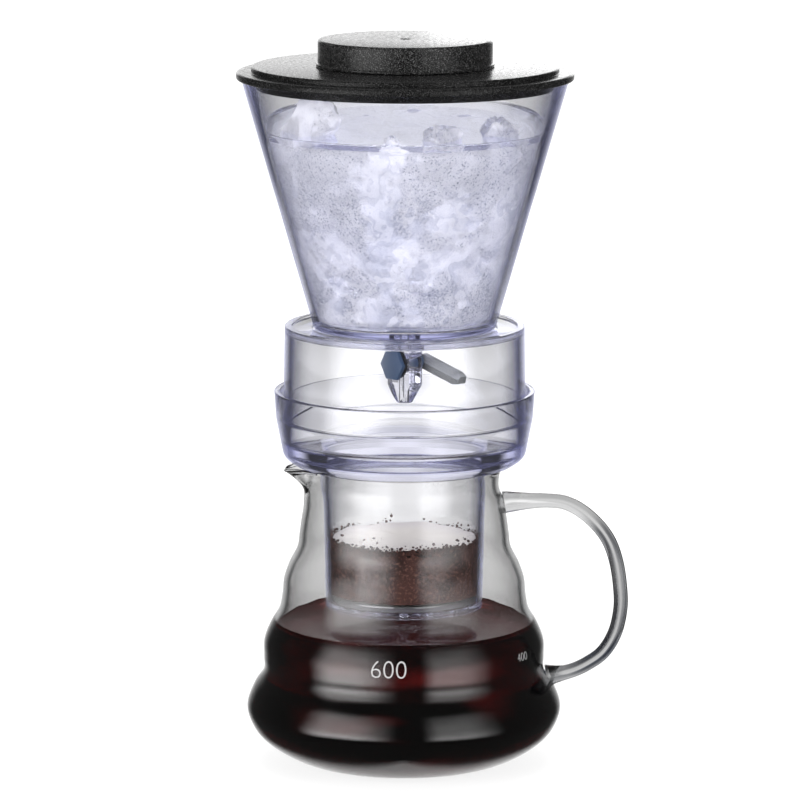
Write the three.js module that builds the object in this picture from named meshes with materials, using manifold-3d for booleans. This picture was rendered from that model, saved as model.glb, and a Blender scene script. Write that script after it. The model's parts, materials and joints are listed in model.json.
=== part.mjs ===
// Ice-drip cold brew coffee maker. Millimetres, +Z up, origin at the centre of the server's base.
// +X points to the handle, -X to the pouring lip, -Y to the viewer.
// A glass server carries a clear filter cup, a clear drip ring, an ice tank with a drip valve, and a lid.
import * as THREE from 'three';
import { mergeVertices } from 'three/addons/utils/BufferGeometryUtils.js';
import Module from 'manifold-3d';

const wasm = await Module();
wasm.setup();

// Clearances and cuts
const seatGap = 0.3;
const boreGap = 0.3;
const nestGap = 0.7;
const cutOverrun = 1;

// Facets round a full turn
const wideFacets = 40;
const serverFacets = 48;
const smallFacets = 16;
const ringFacets = 12;
const handleFacets = 10;
const sectionFacets = 6;
const holeFacets = 6;
const arcSteps = 2;

// Glass server
const server = {
  height: 115,
  neckHeight: 107,
  baseRadius: 28,
  bulgeRadius: 60,
  neckRadius: 36,
  rimRadius: 37,
  wall: 2,
  floor: 2.4,
  lipReach: 9.4,
  lipDepth: 18,
  lipDip: 2.6,
  lipHalfWidth: 11,
};

// Server outline: share of the way from neck to bulge radius, then share of the neck height
const serverWaveShares = [
  [0.121, 0.013], [0.433, 0.04], [0.729, 0.084], [0.91, 0.132], [1, 0.199], [0.892, 0.271],
  [0.737, 0.327], [0.733, 0.383], [0.725, 0.439], [0.629, 0.495], [0.487, 0.551], [0.437, 0.607],
  [0.408, 0.664], [0.321, 0.719], [0.196, 0.776], [0.162, 0.831], [0.125, 0.888], [0.079, 0.943],
  [0, 1],
];
const serverOutlineSteps = 24;

// Glass handle
const handle = {
  rodRadius: 2.75,
  reach: 82.7,
  upperRoot: 100,
  lowerRoot: 32.3,
  footRadius: 4.3,
  footLength: 5,
};

// Handle route: share of the way from the wall out to the reach, then share of the height between the roots
const handleRouteShares = [
  [0.372, 1.01], [0.57, 0.985], [0.751, 0.902], [0.888, 0.79], [0.962, 0.659], [0.998, 0.504],
  [1, 0.384], [0.93, 0.253], [0.775, 0.143], [0.561, 0.075], [0.306, 0.027],
];
const handleSteps = 32;

// Filter cup: a wide collar over a cup that hangs into the server
const filterCup = {
  collarHeight: 28.2,
  undersideRadius: 41.4,
  shoulderRadius: 46,
  shoulderRise: 3.2,
  creaseRadius: 48.8,
  rimRadius: 49.5,
  ledgeRise: 17.8,
  basinRadius: 43,
  basinFloor: 9.5,
  basinCorner: 1.6,
  rimWall: 2.4,
  cupRadius: 31,
  cupTaper: 1.1,
  cupDepth: 55,
  cupWall: 1.9,
  cupFloor: 2.4,
  mouthRound: 1.5,
  drainRadius: 1.7,
  drainPitch: 8,
};
const drainRings = 2;

// Filter disc and its seal in the foot of the cup
const filterDisc = { thickness: 0.5 };
const filterSeal = { width: 3.4, height: 2.8, lipDepth: 1.4 };

// Drip ring that carries the tank above the collar
const dripRing = {
  topRadius: 45.5,
  footRadius: 46.1,
  height: 35,
  wall: 2.9,
  plateDrop: 0.8,
  seatDepth: 0.7,
  plateThickness: 1.2,
  passageRadius: 29,
  cornerRound: 0.6,
};

// Ice tank
const tank = {
  bottomRadius: 34.4,
  topRadius: 61.8,
  height: 95.3,
  wall: 2.2,
  floor: 3,
  cornerRound: 1.8,
  rimRound: 0.6,
};

// Drip valve: stub, flange, neck, column and nozzle are one clear moulding
const valve = {
  channelRadius: 1.2,
  stubRadius: 3.7,
  stubHeight: 9.8,
  gasketRadius: 7,
  gasketThickness: 1.3,
  flangeRadius: 7.2,
  flangeThickness: 2.7,
  neckRadius: 5,
  neckLength: 2.6,
  columnRadius: 6.65,
  columnHeight: 13.5,
  leverFlat: 5,
  nutFlat: 3.3,
  axisBelowNeck: 5.75,
  nozzleHeight: 6.2,
  nozzleRadius: 2.9,
  nutFlats: 12.5,
  nutHeight: 4,
  washerThickness: 1.2,
};

// Plug that turns in the valve, from the cap nut at one end to the lever at the other
const plug = {
  journalRadius: 3.3,
  stemRadius: 2.9,
  stemLength: 2.8,
  tangRadius: 1.3,
  tangLength: 3.3,
  threadRadius: 1.7,
  grooveDepth: 1,
  grooveWidth: 1.3,
  frontGroove: 2.05,
  rearGroove: 3.1,
  ringWidth: 0.8,
  washerRadius: 5.2,
  washerThickness: 1.5,
  nutFlats: 10.3,
  nutThickness: 1.8,
  nutCap: 0.6,
};
const plugTurn = Math.PI / 4;
const leverRestTilt = THREE.MathUtils.degToRad(14);

// Lever on the plug's tang
const lever = {
  length: 21,
  width: 4.5,
  depth: 4.3,
  tipWidth: 2.6,
  tipChamfer: 2.4,
  edge: 0.5,
  endWall: 1,
};

// Lid with a raised plate, an outer bead and a skirt inside the tank's rim
const lid = {
  beadRadius: 63.5,
  beadWidth: 1.3,
  beadDrop: 0.9,
  beadRound: 0.8,
  flangeThickness: 1.9,
  plateRadius: 57.9,
  plateRise: 2,
  plateEdge: 0.8,
  underRise: 1.7,
  skirtWall: 1.6,
  skirtDepth: 3.6,
};

// Knob on the lid and the screw that holds it
const knob = {
  radius: 32.9,
  footRadius: 33.6,
  footHeight: 0.9,
  height: 9.8,
  wall: 2.2,
  edgeRound: 1.1,
  bossRadius: 4.5,
};
const knobScrew = { shankRadius: 1.4, headRadius: 3.2, headHeight: 2, shankReach: 5.6 };

// Heights that follow from the stack
const cupUnderside = server.height + seatGap;
const collarTop = cupUnderside + filterCup.collarHeight;
const ledgeTop = cupUnderside + filterCup.ledgeRise;
const basinTop = cupUnderside + filterCup.basinFloor;
const cupBottom = cupUnderside - filterCup.cupDepth;
const cupFloorTop = cupBottom + filterCup.cupFloor;
const ringFoot = ledgeTop + seatGap;
const ringTop = ringFoot + dripRing.height;
const ringPlateTop = ringTop - dripRing.plateDrop;
const ringSeat = ringPlateTop - dripRing.seatDepth;
const ringPlateUnder = ringSeat - dripRing.plateThickness;
const tankBottom = ringSeat + seatGap;
const tankFloorTop = tankBottom + tank.floor;
const tankTop = tankBottom + tank.height;
const gasketTop = tankBottom - seatGap;
const flangeTop = gasketTop - valve.gasketThickness - seatGap;
const flangeUnder = flangeTop - valve.flangeThickness;
const columnTop = flangeUnder - valve.neckLength;
const columnFoot = columnTop - valve.columnHeight;
const nozzleTip = columnFoot - valve.nozzleHeight;
const plugHeight = columnTop - valve.axisBelowNeck;
const stubTop = tankBottom + valve.stubHeight;
const tankWasherBase = tankFloorTop + seatGap;
const lockNutBase = tankWasherBase + valve.washerThickness + seatGap;
const lidFlangeUnder = tankTop + seatGap;
const lidFlangeTop = lidFlangeUnder + lid.flangeThickness;
const lidPlateTop = lidFlangeTop + lid.plateRise;
const lidPlateUnder = lidFlangeUnder + lid.underRise;
const knobFoot = lidPlateTop + seatGap;
const knobTop = knobFoot + knob.height;

// Finishes
const glass = finish(0xdfe6ea, 0.05);
const clearPlastic = finish(0xd6d6f0, 0.08);
const blackPlastic = finish(0x1c1d20, 0.5);
const bluePlastic = finish(0x4a5563, 0.4);
const greyPlastic = finish(0x83888a, 0.3);
const blackRubber = finish(0x121316, 0.7);
const silicone = finish(0xd9dade, 0.5);
const steel = finish(0xa9adb2, 0.35, 1);

function finish(color, roughness, metalness = 0) {
  return new THREE.MeshStandardMaterial({ color, roughness, metalness });
}

// Solids from closed geometries
function solidOf(geometry) {
  const bare = geometry.clone();
  bare.deleteAttribute('normal');
  bare.deleteAttribute('uv');
  const merged = mergeVertices(bare);
  const places = merged.getAttribute('position');
  const corners = merged.index.array;
  const kept = [];
  let volume = 0;
  for (let i = 0; i < corners.length; i += 3) {
    const [a, b, c] = [corners[i], corners[i + 1], corners[i + 2]];
    if (a === b || b === c || c === a) {
      continue;
    }
    const [p, q, r] = [a, b, c].map((k) => new THREE.Vector3().fromBufferAttribute(places, k));
    volume += p.dot(q.cross(r));
    kept.push(a, b, c);
  }
  if (volume < 0) {
    kept.reverse();
  }
  const vertProperties = new Float32Array(places.array);
  const triVerts = new Uint32Array(kept);
  return new wasm.Manifold(new wasm.Mesh({ numProp: 3, vertProperties, triVerts }));
}

function geometryOf(solid) {
  const mesh = solid.getMesh();
  const geometry = new THREE.BufferGeometry();
  geometry.setAttribute('position', new THREE.BufferAttribute(new Float32Array(mesh.vertProperties), 3));
  geometry.setIndex(new THREE.BufferAttribute(new Uint32Array(mesh.triVerts), 1));
  geometry.computeVertexNormals();
  return geometry;
}

function piece(name, solid, material) {
  const mesh = new THREE.Mesh(geometryOf(solid), material);
  mesh.name = name;
  return mesh;
}

// Profiles are lists of [radius, height]
function latheGeometry(profile, facets) {
  const points = profile.map(([radius, height]) => new THREE.Vector2(radius, height));
  return new THREE.LatheGeometry(points, facets).rotateX(Math.PI / 2);
}

function turned(profile, facets = wideFacets) {
  return solidOf(latheGeometry(profile, facets));
}

function closedLoop(profile) {
  return [...profile, profile[0]];
}

function turnedRing(profile, facets = wideFacets) {
  return turned(closedLoop(profile), facets);
}

// Quarter turn of a corner between two angles, as profile points
function cornerArc([radius, height], round, fromAngle, toAngle, steps = arcSteps) {
  const points = [];
  for (let i = 0; i <= steps; i += 1) {
    const angle = fromAngle + ((toAngle - fromAngle) * i) / steps;
    points.push([radius + round * Math.cos(angle), height + round * Math.sin(angle)]);
  }
  return points;
}

function cylinderAlongZ(radius, bottom, top, facets = smallFacets) {
  return turned([[0, bottom], [radius, bottom], [radius, top], [0, top]], facets);
}

function boxSolid(low, high) {
  const size = new THREE.Vector3().subVectors(high, low);
  const middle = new THREE.Vector3().addVectors(low, high).multiplyScalar(0.5);
  const geometry = new THREE.BoxGeometry(size.x, size.y, size.z);
  return solidOf(geometry.translate(middle.x, middle.y, middle.z));
}

function hexagonShape(flats) {
  const corner = flats / 2 / Math.cos(Math.PI / 6);
  const points = [];
  for (let i = 0; i < 6; i += 1) {
    const angle = (i * Math.PI) / 3;
    points.push(new THREE.Vector2(corner * Math.cos(angle), corner * Math.sin(angle)));
  }
  return new THREE.Shape(points);
}

function hexagonPrism(flats, bottom, top) {
  const options = { depth: top - bottom, bevelEnabled: false };
  return solidOf(new THREE.ExtrudeGeometry(hexagonShape(flats), options).translate(0, 0, bottom));
}

// Server outline from the base to the neck, and the same line moved along its normals
function serverCurve() {
  const spread = server.bulgeRadius - server.neckRadius;
  const points = serverWaveShares.map(([out, up]) => (
    new THREE.Vector2(server.neckRadius + out * spread, up * server.neckHeight)
  ));
  const rim = new THREE.Vector2(server.rimRadius, server.height);
  return new THREE.SplineCurve([new THREE.Vector2(server.baseRadius, 0), ...points, rim]);
}

const serverOutline = serverCurve();

function serverLine(offset) {
  const line = [];
  for (let i = 0; i <= serverOutlineSteps; i += 1) {
    const share = i / serverOutlineSteps;
    const point = serverOutline.getPoint(share);
    const along = serverOutline.getTangent(share);
    line.push([point.x + offset * along.y, point.y - offset * along.x]);
  }
  return line;
}

function serverRadiusAt(height) {
  const line = serverLine(0);
  const above = line.findIndex((point) => point[1] >= height);
  const [lowRadius, low] = line[above - 1];
  const [highRadius, high] = line[above];
  return THREE.MathUtils.mapLinear(height, low, high, lowRadius, highRadius);
}

// The pouring lip draws the rim out towards -X and dips it
function pullLip(geometry) {
  const places = geometry.getAttribute('position');
  const lipFoot = server.height - server.lipDepth;
  for (let i = 0; i < places.count; i += 1) {
    const point = new THREE.Vector3().fromBufferAttribute(places, i);
    const radius = Math.hypot(point.x, point.y);
    const facing = radius > 0 ? Math.max(0, -point.x / radius) : 0;
    const aside = point.y / server.lipHalfWidth;
    const rise = THREE.MathUtils.clamp((point.z - lipFoot) / server.lipDepth, 0, 1);
    const pull = facing * Math.exp(-aside * aside) * rise * rise;
    const grow = radius > 0 ? 1 + (server.lipReach * pull) / radius : 1;
    places.setXYZ(i, point.x * grow, point.y, point.z - server.lipDip * pull);
  }
  return geometry;
}

function serverGlass() {
  const outside = serverLine(0);
  const inside = serverLine(-server.wall).filter((point) => point[1] > server.floor).reverse();
  const rimMiddle = server.rimRadius - server.wall / 2;
  const rimCrown = [rimMiddle, server.height + server.wall / 5];
  const floorEdge = [server.baseRadius, server.floor];
  const profile = [[0, 0], ...outside, rimCrown, ...inside, floorEdge, [0, server.floor]];
  const sunk = profile.map(([radius, height]) => [radius, Math.min(height, server.height)]);
  return solidOf(pullLip(latheGeometry(sunk, serverFacets)));
}

// Solid that fills the server and stands off its wall, to shape the handle's feet
function serverEnvelope() {
  const outside = serverLine(seatGap);
  const [topRadius, top] = outside[outside.length - 1];
  const foot = outside[0][1];
  const crown = top + cutOverrun;
  return turned([[0, foot], ...outside, [topRadius, crown], [0, crown]], serverFacets);
}

// Round rod along a curve in the XZ plane, with a radius for each share of its length
function rodAlong(curve, radiusAt, steps, facets) {
  const sideways = new THREE.Vector3(0, 1, 0);
  const places = [];
  const faces = [];
  for (let i = 0; i <= steps; i += 1) {
    const middle = curve.getPointAt(i / steps);
    const across = new THREE.Vector3().crossVectors(sideways, curve.getTangentAt(i / steps));
    for (let k = 0; k < facets; k += 1) {
      const angle = (2 * Math.PI * k) / facets;
      const out = across.clone().multiplyScalar(Math.cos(angle)).addScaledVector(sideways, Math.sin(angle));
      places.push(...middle.clone().addScaledVector(out, radiusAt(i / steps)).toArray());
    }
  }
  for (let i = 0; i < steps; i += 1) {
    for (let k = 0; k < facets; k += 1) {
      const next = (k + 1) % facets;
      const [a, b] = [i * facets + k, i * facets + next];
      faces.push(a, a + facets, b, b, a + facets, b + facets);
    }
  }
  const last = steps * facets;
  for (let k = 1; k < facets - 1; k += 1) {
    faces.push(0, k, k + 1, last, last + k + 1, last + k);
  }
  const geometry = new THREE.BufferGeometry();
  geometry.setAttribute('position', new THREE.Float32BufferAttribute(places, 3));
  geometry.setIndex(faces);
  return solidOf(geometry);
}

function handleCurve() {
  const upperWall = serverRadiusAt(handle.upperRoot);
  const lowerWall = serverRadiusAt(handle.lowerRoot);
  const height = handle.upperRoot - handle.lowerRoot;
  const route = handleRouteShares.map(([out, up]) => {
    const wall = up > 0.5 ? upperWall : lowerWall;
    return new THREE.Vector3(wall + out * (handle.reach - wall), 0, handle.lowerRoot + up * height);
  });
  const top = new THREE.Vector3(upperWall - server.wall, 0, handle.upperRoot);
  const low = new THREE.Vector3(lowerWall - server.wall, 0, handle.lowerRoot);
  return new THREE.CatmullRomCurve3([top, ...route, low]);
}

function serverHandle() {
  const curve = handleCurve();
  const length = curve.getLength();
  const flare = handle.footRadius - handle.rodRadius;
  const radiusAt = (share) => {
    const fromEnd = Math.min(share, 1 - share) * length - server.wall;
    return handle.rodRadius + flare * Math.exp(-((fromEnd / handle.footLength) ** 2));
  };
  return rodAlong(curve, radiusAt, handleSteps, handleFacets).subtract(serverEnvelope());
}

// Filter cup: outer wall down one side, inner wall back up the other
function cupWallRadius(height) {
  const share = (cupUnderside - height) / filterCup.cupDepth;
  return filterCup.cupRadius - filterCup.cupTaper * share;
}

function cupInnerRadius(height) {
  return cupWallRadius(height) - filterCup.cupWall;
}

function collarInnerProfile() {
  const rimInner = filterCup.rimRadius - filterCup.rimWall;
  const ledgeWall = dripRing.footRadius + nestGap;
  const corner = [filterCup.basinRadius - filterCup.basinCorner, basinTop + filterCup.basinCorner];
  return [
    [rimInner, collarTop],
    [ledgeWall, ledgeTop],
    [filterCup.basinRadius, ledgeTop],
    ...cornerArc(corner, filterCup.basinCorner, 0, -Math.PI / 2),
  ];
}

function filterCupBody() {
  const mouth = [cupInnerRadius(basinTop) + filterCup.mouthRound, basinTop - filterCup.mouthRound];
  const profile = [
    [0, cupBottom],
    [cupWallRadius(cupBottom), cupBottom],
    [filterCup.cupRadius, cupUnderside],
    [filterCup.undersideRadius, cupUnderside],
    [filterCup.shoulderRadius, cupUnderside + filterCup.shoulderRise],
    [filterCup.creaseRadius, ledgeTop],
    [filterCup.rimRadius, collarTop],
    ...collarInnerProfile(),
    ...cornerArc(mouth, filterCup.mouthRound, Math.PI / 2, Math.PI),
    [cupInnerRadius(cupFloorTop), cupFloorTop],
    [0, cupFloorTop],
  ];
  return turned(profile);
}

function drainPlaces() {
  const places = [[0, 0]];
  for (let ring = 1; ring <= drainRings; ring += 1) {
    const count = 6 * ring;
    const away = ring * filterCup.drainPitch;
    for (let i = 0; i < count; i += 1) {
      const angle = (2 * Math.PI * i) / count;
      places.push([away * Math.cos(angle), away * Math.sin(angle)]);
    }
  }
  return places;
}

function filterCupWithDrains() {
  const drain = cylinderAlongZ(
    filterCup.drainRadius,
    cupBottom - cutOverrun,
    cupFloorTop + cutOverrun,
    holeFacets,
  );
  return drainPlaces().reduce((cup, [x, y]) => cup.subtract(drain.translate([x, y, 0])), filterCupBody());
}

// Steel filter disc, held in the groove of the silicone seal
const sealOuter = cupInnerRadius(cupFloorTop) - boreGap;
const sealInner = sealOuter - filterSeal.width;
const sealBase = cupFloorTop + seatGap;
const discRadius = sealInner + filterSeal.lipDepth - boreGap;
const discBase = sealBase + (filterSeal.height - filterDisc.thickness) / 2;
const discTop = discBase + filterDisc.thickness;

function sealRing() {
  const grooveRadius = sealInner + filterSeal.lipDepth;
  const grooveLow = discBase - seatGap;
  const grooveHigh = discTop + seatGap;
  const top = sealBase + filterSeal.height;
  return turnedRing([
    [sealInner, sealBase],
    [sealOuter, sealBase],
    [sealOuter, top],
    [sealInner, top],
    [sealInner, grooveHigh],
    [grooveRadius, grooveHigh],
    [grooveRadius, grooveLow],
    [sealInner, grooveLow],
  ]);
}

// Drip ring: a wall with a recessed top plate, a seat for the tank and a passage for the valve
function dripRingBody() {
  const round = dripRing.cornerRound;
  const footInner = dripRing.footRadius - dripRing.wall;
  const topInner = dripRing.topRadius - dripRing.wall;
  const seatRadius = tank.bottomRadius + nestGap;
  const outerCorner = [dripRing.topRadius - round, ringTop - round];
  const innerCorner = [topInner + round, ringTop - round];
  return turnedRing([
    [footInner, ringFoot],
    [dripRing.footRadius, ringFoot],
    ...cornerArc(outerCorner, round, 0, Math.PI / 2),
    ...cornerArc(innerCorner, round, Math.PI / 2, Math.PI),
    [topInner, ringPlateTop],
    [seatRadius, ringPlateTop],
    [seatRadius, ringSeat],
    [dripRing.passageRadius, ringSeat],
    [dripRing.passageRadius, ringPlateUnder],
    [topInner, ringPlateUnder],
  ]);
}

// Ice tank: a cone with a flat floor and a hole for the valve's stub
function iceTank() {
  const lean = (tank.topRadius - tank.bottomRadius) / tank.height;
  const wallAcross = tank.wall * Math.hypot(1, lean);
  const round = tank.cornerRound;
  const holeRadius = valve.stubRadius + boreGap;
  const tilt = Math.atan(lean);
  const foot = [tank.bottomRadius + lean * round - round, tankBottom + round];
  const innerFoot = tank.bottomRadius + lean * tank.floor - wallAcross;
  const innerCorner = [innerFoot + lean * round - round, tankFloorTop + round];
  return turnedRing([
    [holeRadius, tankBottom],
    ...cornerArc(foot, round, -Math.PI / 2, -tilt),
    [tank.topRadius, tankTop - tank.rimRound],
    [tank.topRadius - tank.rimRound, tankTop],
    [tank.topRadius - wallAcross, tankTop],
    ...cornerArc(innerCorner, round, -tilt, -Math.PI / 2),
    [holeRadius, tankFloorTop],
  ]);
}

function flatRing(inner, outer, bottom, top) {
  return turnedRing([[inner, bottom], [outer, bottom], [outer, top], [inner, top]], smallFacets);
}

function valveGasket(bottom, top) {
  return flatRing(valve.stubRadius + boreGap, valve.gasketRadius, bottom, top);
}

function valveLockNut() {
  const top = lockNutBase + valve.nutHeight;
  const prism = hexagonPrism(valve.nutFlats, lockNutBase, top);
  const bore = cylinderAlongZ(valve.stubRadius + boreGap, lockNutBase - cutOverrun, top + cutOverrun);
  return prism.subtract(bore);
}

// Pieces of the plug are turned about +Z first and then laid along +X
function alongX(solid) {
  return solid.rotate([0, 90, 0]);
}

function placedAtPlug(solid) {
  const degrees = THREE.MathUtils.radToDeg(plugTurn);
  return solid.rotate([0, 0, degrees]).translate([0, 0, plugHeight]);
}

const plugBoreRadius = plug.journalRadius + boreGap;

// Block beyond one flat of the column, from below the plug up to the neck
function flatCutter(flat, reach) {
  const low = new THREE.Vector3(flat, -reach, -valve.columnHeight);
  const high = new THREE.Vector3(reach, reach, valve.axisBelowNeck);
  return boxSolid(low, high);
}

function valveBody() {
  const moulding = turnedRing([
    [valve.channelRadius, nozzleTip],
    [valve.nozzleRadius, nozzleTip],
    [valve.columnRadius, columnFoot],
    [valve.columnRadius, columnTop],
    [valve.neckRadius, columnTop],
    [valve.neckRadius, flangeUnder],
    [valve.flangeRadius, flangeUnder],
    [valve.flangeRadius, flangeTop],
    [valve.stubRadius, flangeTop],
    [valve.stubRadius, stubTop],
    [valve.channelRadius, stubTop],
  ], smallFacets);
  const reach = valve.columnRadius + cutOverrun;
  const bore = placedAtPlug(alongX(cylinderAlongZ(plugBoreRadius, -reach, reach)));
  const leverSide = placedAtPlug(flatCutter(valve.leverFlat, reach));
  const nutSide = placedAtPlug(flatCutter(valve.nutFlat, reach).rotate([0, 0, 180]));
  return moulding.subtract(bore).subtract(leverSide).subtract(nutSide);
}

// Plug, laid along its own +X from the cap nut's thread to the lever's tang
const journalEnd = valve.leverFlat - boreGap;
const journalStart = valve.nutFlat - boreGap;
const washerStart = valve.nutFlat + seatGap;
const capNutStart = washerStart + plug.washerThickness + seatGap;
const capNutEnd = capNutStart + plug.nutThickness;
const threadBoreRadius = plug.threadRadius + boreGap;
const stemEnd = journalEnd + plug.stemLength;
const leverStart = stemEnd + seatGap;

function plugBody() {
  const grooveRadius = plug.journalRadius - plug.grooveDepth;
  const half = plug.grooveWidth / 2;
  const threadEnd = capNutEnd - plug.nutCap - seatGap;
  const profile = [
    [0, -threadEnd],
    [plug.threadRadius, -threadEnd],
    [plug.threadRadius, -journalStart],
    [plug.journalRadius, -journalStart],
    [plug.journalRadius, -plug.frontGroove - half],
    [grooveRadius, -plug.frontGroove - half],
    [grooveRadius, -plug.frontGroove + half],
    [plug.journalRadius, -plug.frontGroove + half],
    [plug.journalRadius, plug.rearGroove - half],
    [grooveRadius, plug.rearGroove - half],
    [grooveRadius, plug.rearGroove + half],
    [plug.journalRadius, plug.rearGroove + half],
    [plug.journalRadius, journalEnd],
    [plug.stemRadius, journalEnd],
    [plug.stemRadius, stemEnd],
    [plug.tangRadius, stemEnd],
    [plug.tangRadius, stemEnd + plug.tangLength],
    [0, stemEnd + plug.tangLength],
  ];
  const reach = plug.journalRadius + cutOverrun;
  const crossHole = cylinderAlongZ(valve.channelRadius, -reach, reach, holeFacets).rotate([90, 0, 0]);
  return alongX(turned(profile, smallFacets)).subtract(crossHole);
}

// Rubber ring with a round section, as wide as its groove lets it be
function plugRing(offset) {
  const grooveRadius = plug.journalRadius - plug.grooveDepth;
  const middle = (grooveRadius + plugBoreRadius) / 2;
  const section = [];
  for (let i = 0; i < sectionFacets; i += 1) {
    const angle = (2 * Math.PI * i) / sectionFacets;
    const half = plug.ringWidth / 2;
    section.push([middle + half * Math.cos(angle), offset + half * Math.sin(angle)]);
  }
  return alongX(turnedRing(section, ringFacets));
}

function plugWasher() {
  const outer = -(washerStart + plug.washerThickness);
  return alongX(flatRing(threadBoreRadius, plug.washerRadius, outer, -washerStart));
}

// The nut's flats lie level at rest, so it is turned back by the lever's tilt
function plugCapNut() {
  const nut = hexagonPrism(plug.nutFlats, -capNutEnd, -capNutStart).rotate([0, 0, 90]);
  const bore = cylinderAlongZ(threadBoreRadius, -capNutEnd + plug.nutCap, -capNutStart + cutOverrun);
  return alongX(nut.subtract(bore)).rotate([-THREE.MathUtils.radToDeg(leverRestTilt), 0, 0]);
}

// Lever outline: a round hub at the plug, straight edges and a chamfered tip
function leverBar() {
  const edge = lever.edge;
  const half = lever.depth / 2 - edge;
  const tipHalf = lever.tipWidth / 2 - edge;
  const tip = lever.length - edge;
  const shape = new THREE.Shape();
  shape.moveTo(0, -half);
  shape.lineTo(tip - lever.tipChamfer, -half);
  shape.lineTo(tip, -tipHalf);
  shape.lineTo(tip, tipHalf);
  shape.lineTo(tip - lever.tipChamfer, half);
  shape.lineTo(0, half);
  shape.absarc(0, 0, half, Math.PI / 2, 1.5 * Math.PI, false);
  const options = {
    depth: lever.width - 2 * edge,
    bevelThickness: edge,
    bevelSize: edge,
    bevelSegments: 1,
    curveSegments: smallFacets / 2,
  };
  const bar = new THREE.ExtrudeGeometry(shape, options).translate(0, 0, edge);
  const turn = new THREE.Matrix4().makeBasis(
    new THREE.Vector3(0, -1, 0),
    new THREE.Vector3(0, 0, 1),
    new THREE.Vector3(-1, 0, 0),
  );
  bar.applyMatrix4(turn).translate(leverStart + lever.width, 0, 0);
  const socketEnd = leverStart + lever.width - lever.endWall;
  const socketRadius = plug.tangRadius + boreGap;
  const socket = alongX(cylinderAlongZ(socketRadius, leverStart - cutOverrun, socketEnd, ringFacets));
  return solidOf(bar).subtract(socket);
}

// Lid: plate, flange, outer bead and skirt in one moulding, with a hole for the knob's screw
function lidPlate() {
  const lean = (tank.topRadius - tank.bottomRadius) / tank.height;
  const skirtFoot = lidFlangeUnder - lid.skirtDepth;
  const skirtDrop = tankTop - skirtFoot;
  const rimInner = tank.topRadius - tank.wall * Math.hypot(1, lean);
  const skirtOuter = rimInner - lean * skirtDrop - nestGap;
  const skirtInner = skirtOuter - lid.skirtWall;
  const beadInner = lid.beadRadius - lid.beadWidth;
  const beadFoot = lidFlangeUnder - lid.beadDrop;
  const screwHole = knobScrew.shankRadius + boreGap;
  const beadCorner = [lid.beadRadius - lid.beadRound, lidFlangeTop - lid.beadRound];
  const lowCorner = [lid.beadRadius - lid.beadRound, beadFoot + lid.beadRound];
  return turnedRing([
    [screwHole, lidPlateUnder],
    [skirtInner, lidPlateUnder],
    [skirtInner, skirtFoot],
    [skirtOuter, skirtFoot],
    [skirtOuter, lidFlangeUnder],
    [beadInner, lidFlangeUnder],
    [beadInner, beadFoot],
    ...cornerArc(lowCorner, lid.beadRound, -Math.PI / 2, 0),
    ...cornerArc(beadCorner, lid.beadRound, 0, Math.PI / 2),
    [lid.plateRadius, lidFlangeTop],
    [lid.plateRadius, lidPlateTop - lid.plateEdge],
    [lid.plateRadius - lid.plateEdge, lidPlateTop],
    [screwHole, lidPlateTop],
  ]);
}

// Knob: a shallow hollow cap with a central boss for the screw
function lidKnob() {
  const inner = knob.radius - knob.wall;
  const ceiling = knobTop - knob.wall;
  const boreRadius = knobScrew.shankRadius + boreGap;
  const boreTop = knobFoot + knobScrew.shankReach + boreGap;
  const edge = [knob.radius - knob.edgeRound, knobTop - knob.edgeRound];
  return turned([
    [0, boreTop],
    [boreRadius, boreTop],
    [boreRadius, knobFoot],
    [knob.bossRadius, knobFoot],
    [knob.bossRadius, ceiling],
    [inner, ceiling],
    [inner, knobFoot],
    [knob.footRadius, knobFoot],
    [knob.footRadius, knobFoot + knob.footHeight],
    [knob.radius, knobFoot + knob.footHeight],
    ...cornerArc(edge, knob.edgeRound, 0, Math.PI / 2),
    [0, knobTop],
  ]);
}

function lidKnobScrew() {
  const headTop = lidPlateUnder - seatGap;
  const headFoot = headTop - knobScrew.headHeight;
  const tip = knobFoot + knobScrew.shankReach;
  return turned([
    [0, headFoot],
    [knobScrew.headRadius, headFoot],
    [knobScrew.headRadius, headTop],
    [knobScrew.shankRadius, headTop],
    [knobScrew.shankRadius, tip],
    [0, tip],
  ], ringFacets);
}

// Pieces that turn with the plug share one group on the plug's axis
function plugGroup() {
  const tilted = new THREE.Group();
  tilted.rotation.x = leverRestTilt;
  tilted.add(
    piece('valve_plug', plugBody(), bluePlastic),
    piece('plug_o_ring_front', plugRing(-plug.frontGroove), blackRubber),
    piece('plug_o_ring_rear', plugRing(plug.rearGroove), blackRubber),
    piece('plug_washer', plugWasher(), blackRubber),
    piece('plug_cap_nut', plugCapNut(), bluePlastic),
    piece('valve_lever', leverBar(), greyPlastic),
  );
  const turnedGroup = new THREE.Group();
  turnedGroup.rotation.z = plugTurn;
  turnedGroup.position.z = plugHeight;
  turnedGroup.add(tilted);
  return turnedGroup;
}

const group = new THREE.Group();
group.add(
  piece('server_glass', serverGlass(), glass),
  piece('server_handle', serverHandle(), glass),
  piece('filter_cup', filterCupWithDrains(), clearPlastic),
  piece('filter_disc', cylinderAlongZ(discRadius, discBase, discTop, wideFacets), steel),
  piece('filter_seal_ring', sealRing(), silicone),
  piece('drip_ring', dripRingBody(), clearPlastic),
  piece('ice_tank', iceTank(), clearPlastic),
  piece('valve_gasket_lower', valveGasket(flangeTop + seatGap, gasketTop), silicone),
  piece('valve_gasket_upper', valveGasket(tankWasherBase, lockNutBase - seatGap), silicone),
  piece('valve_lock_nut', valveLockNut(), bluePlastic),
  piece('valve_body', valveBody(), clearPlastic),
  plugGroup(),
  piece('lid_plate', lidPlate(), blackPlastic),
  piece('lid_knob', lidKnob(), blackPlastic),
  piece('lid_knob_screw', lidKnobScrew(), steel),
);

export default group;
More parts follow.
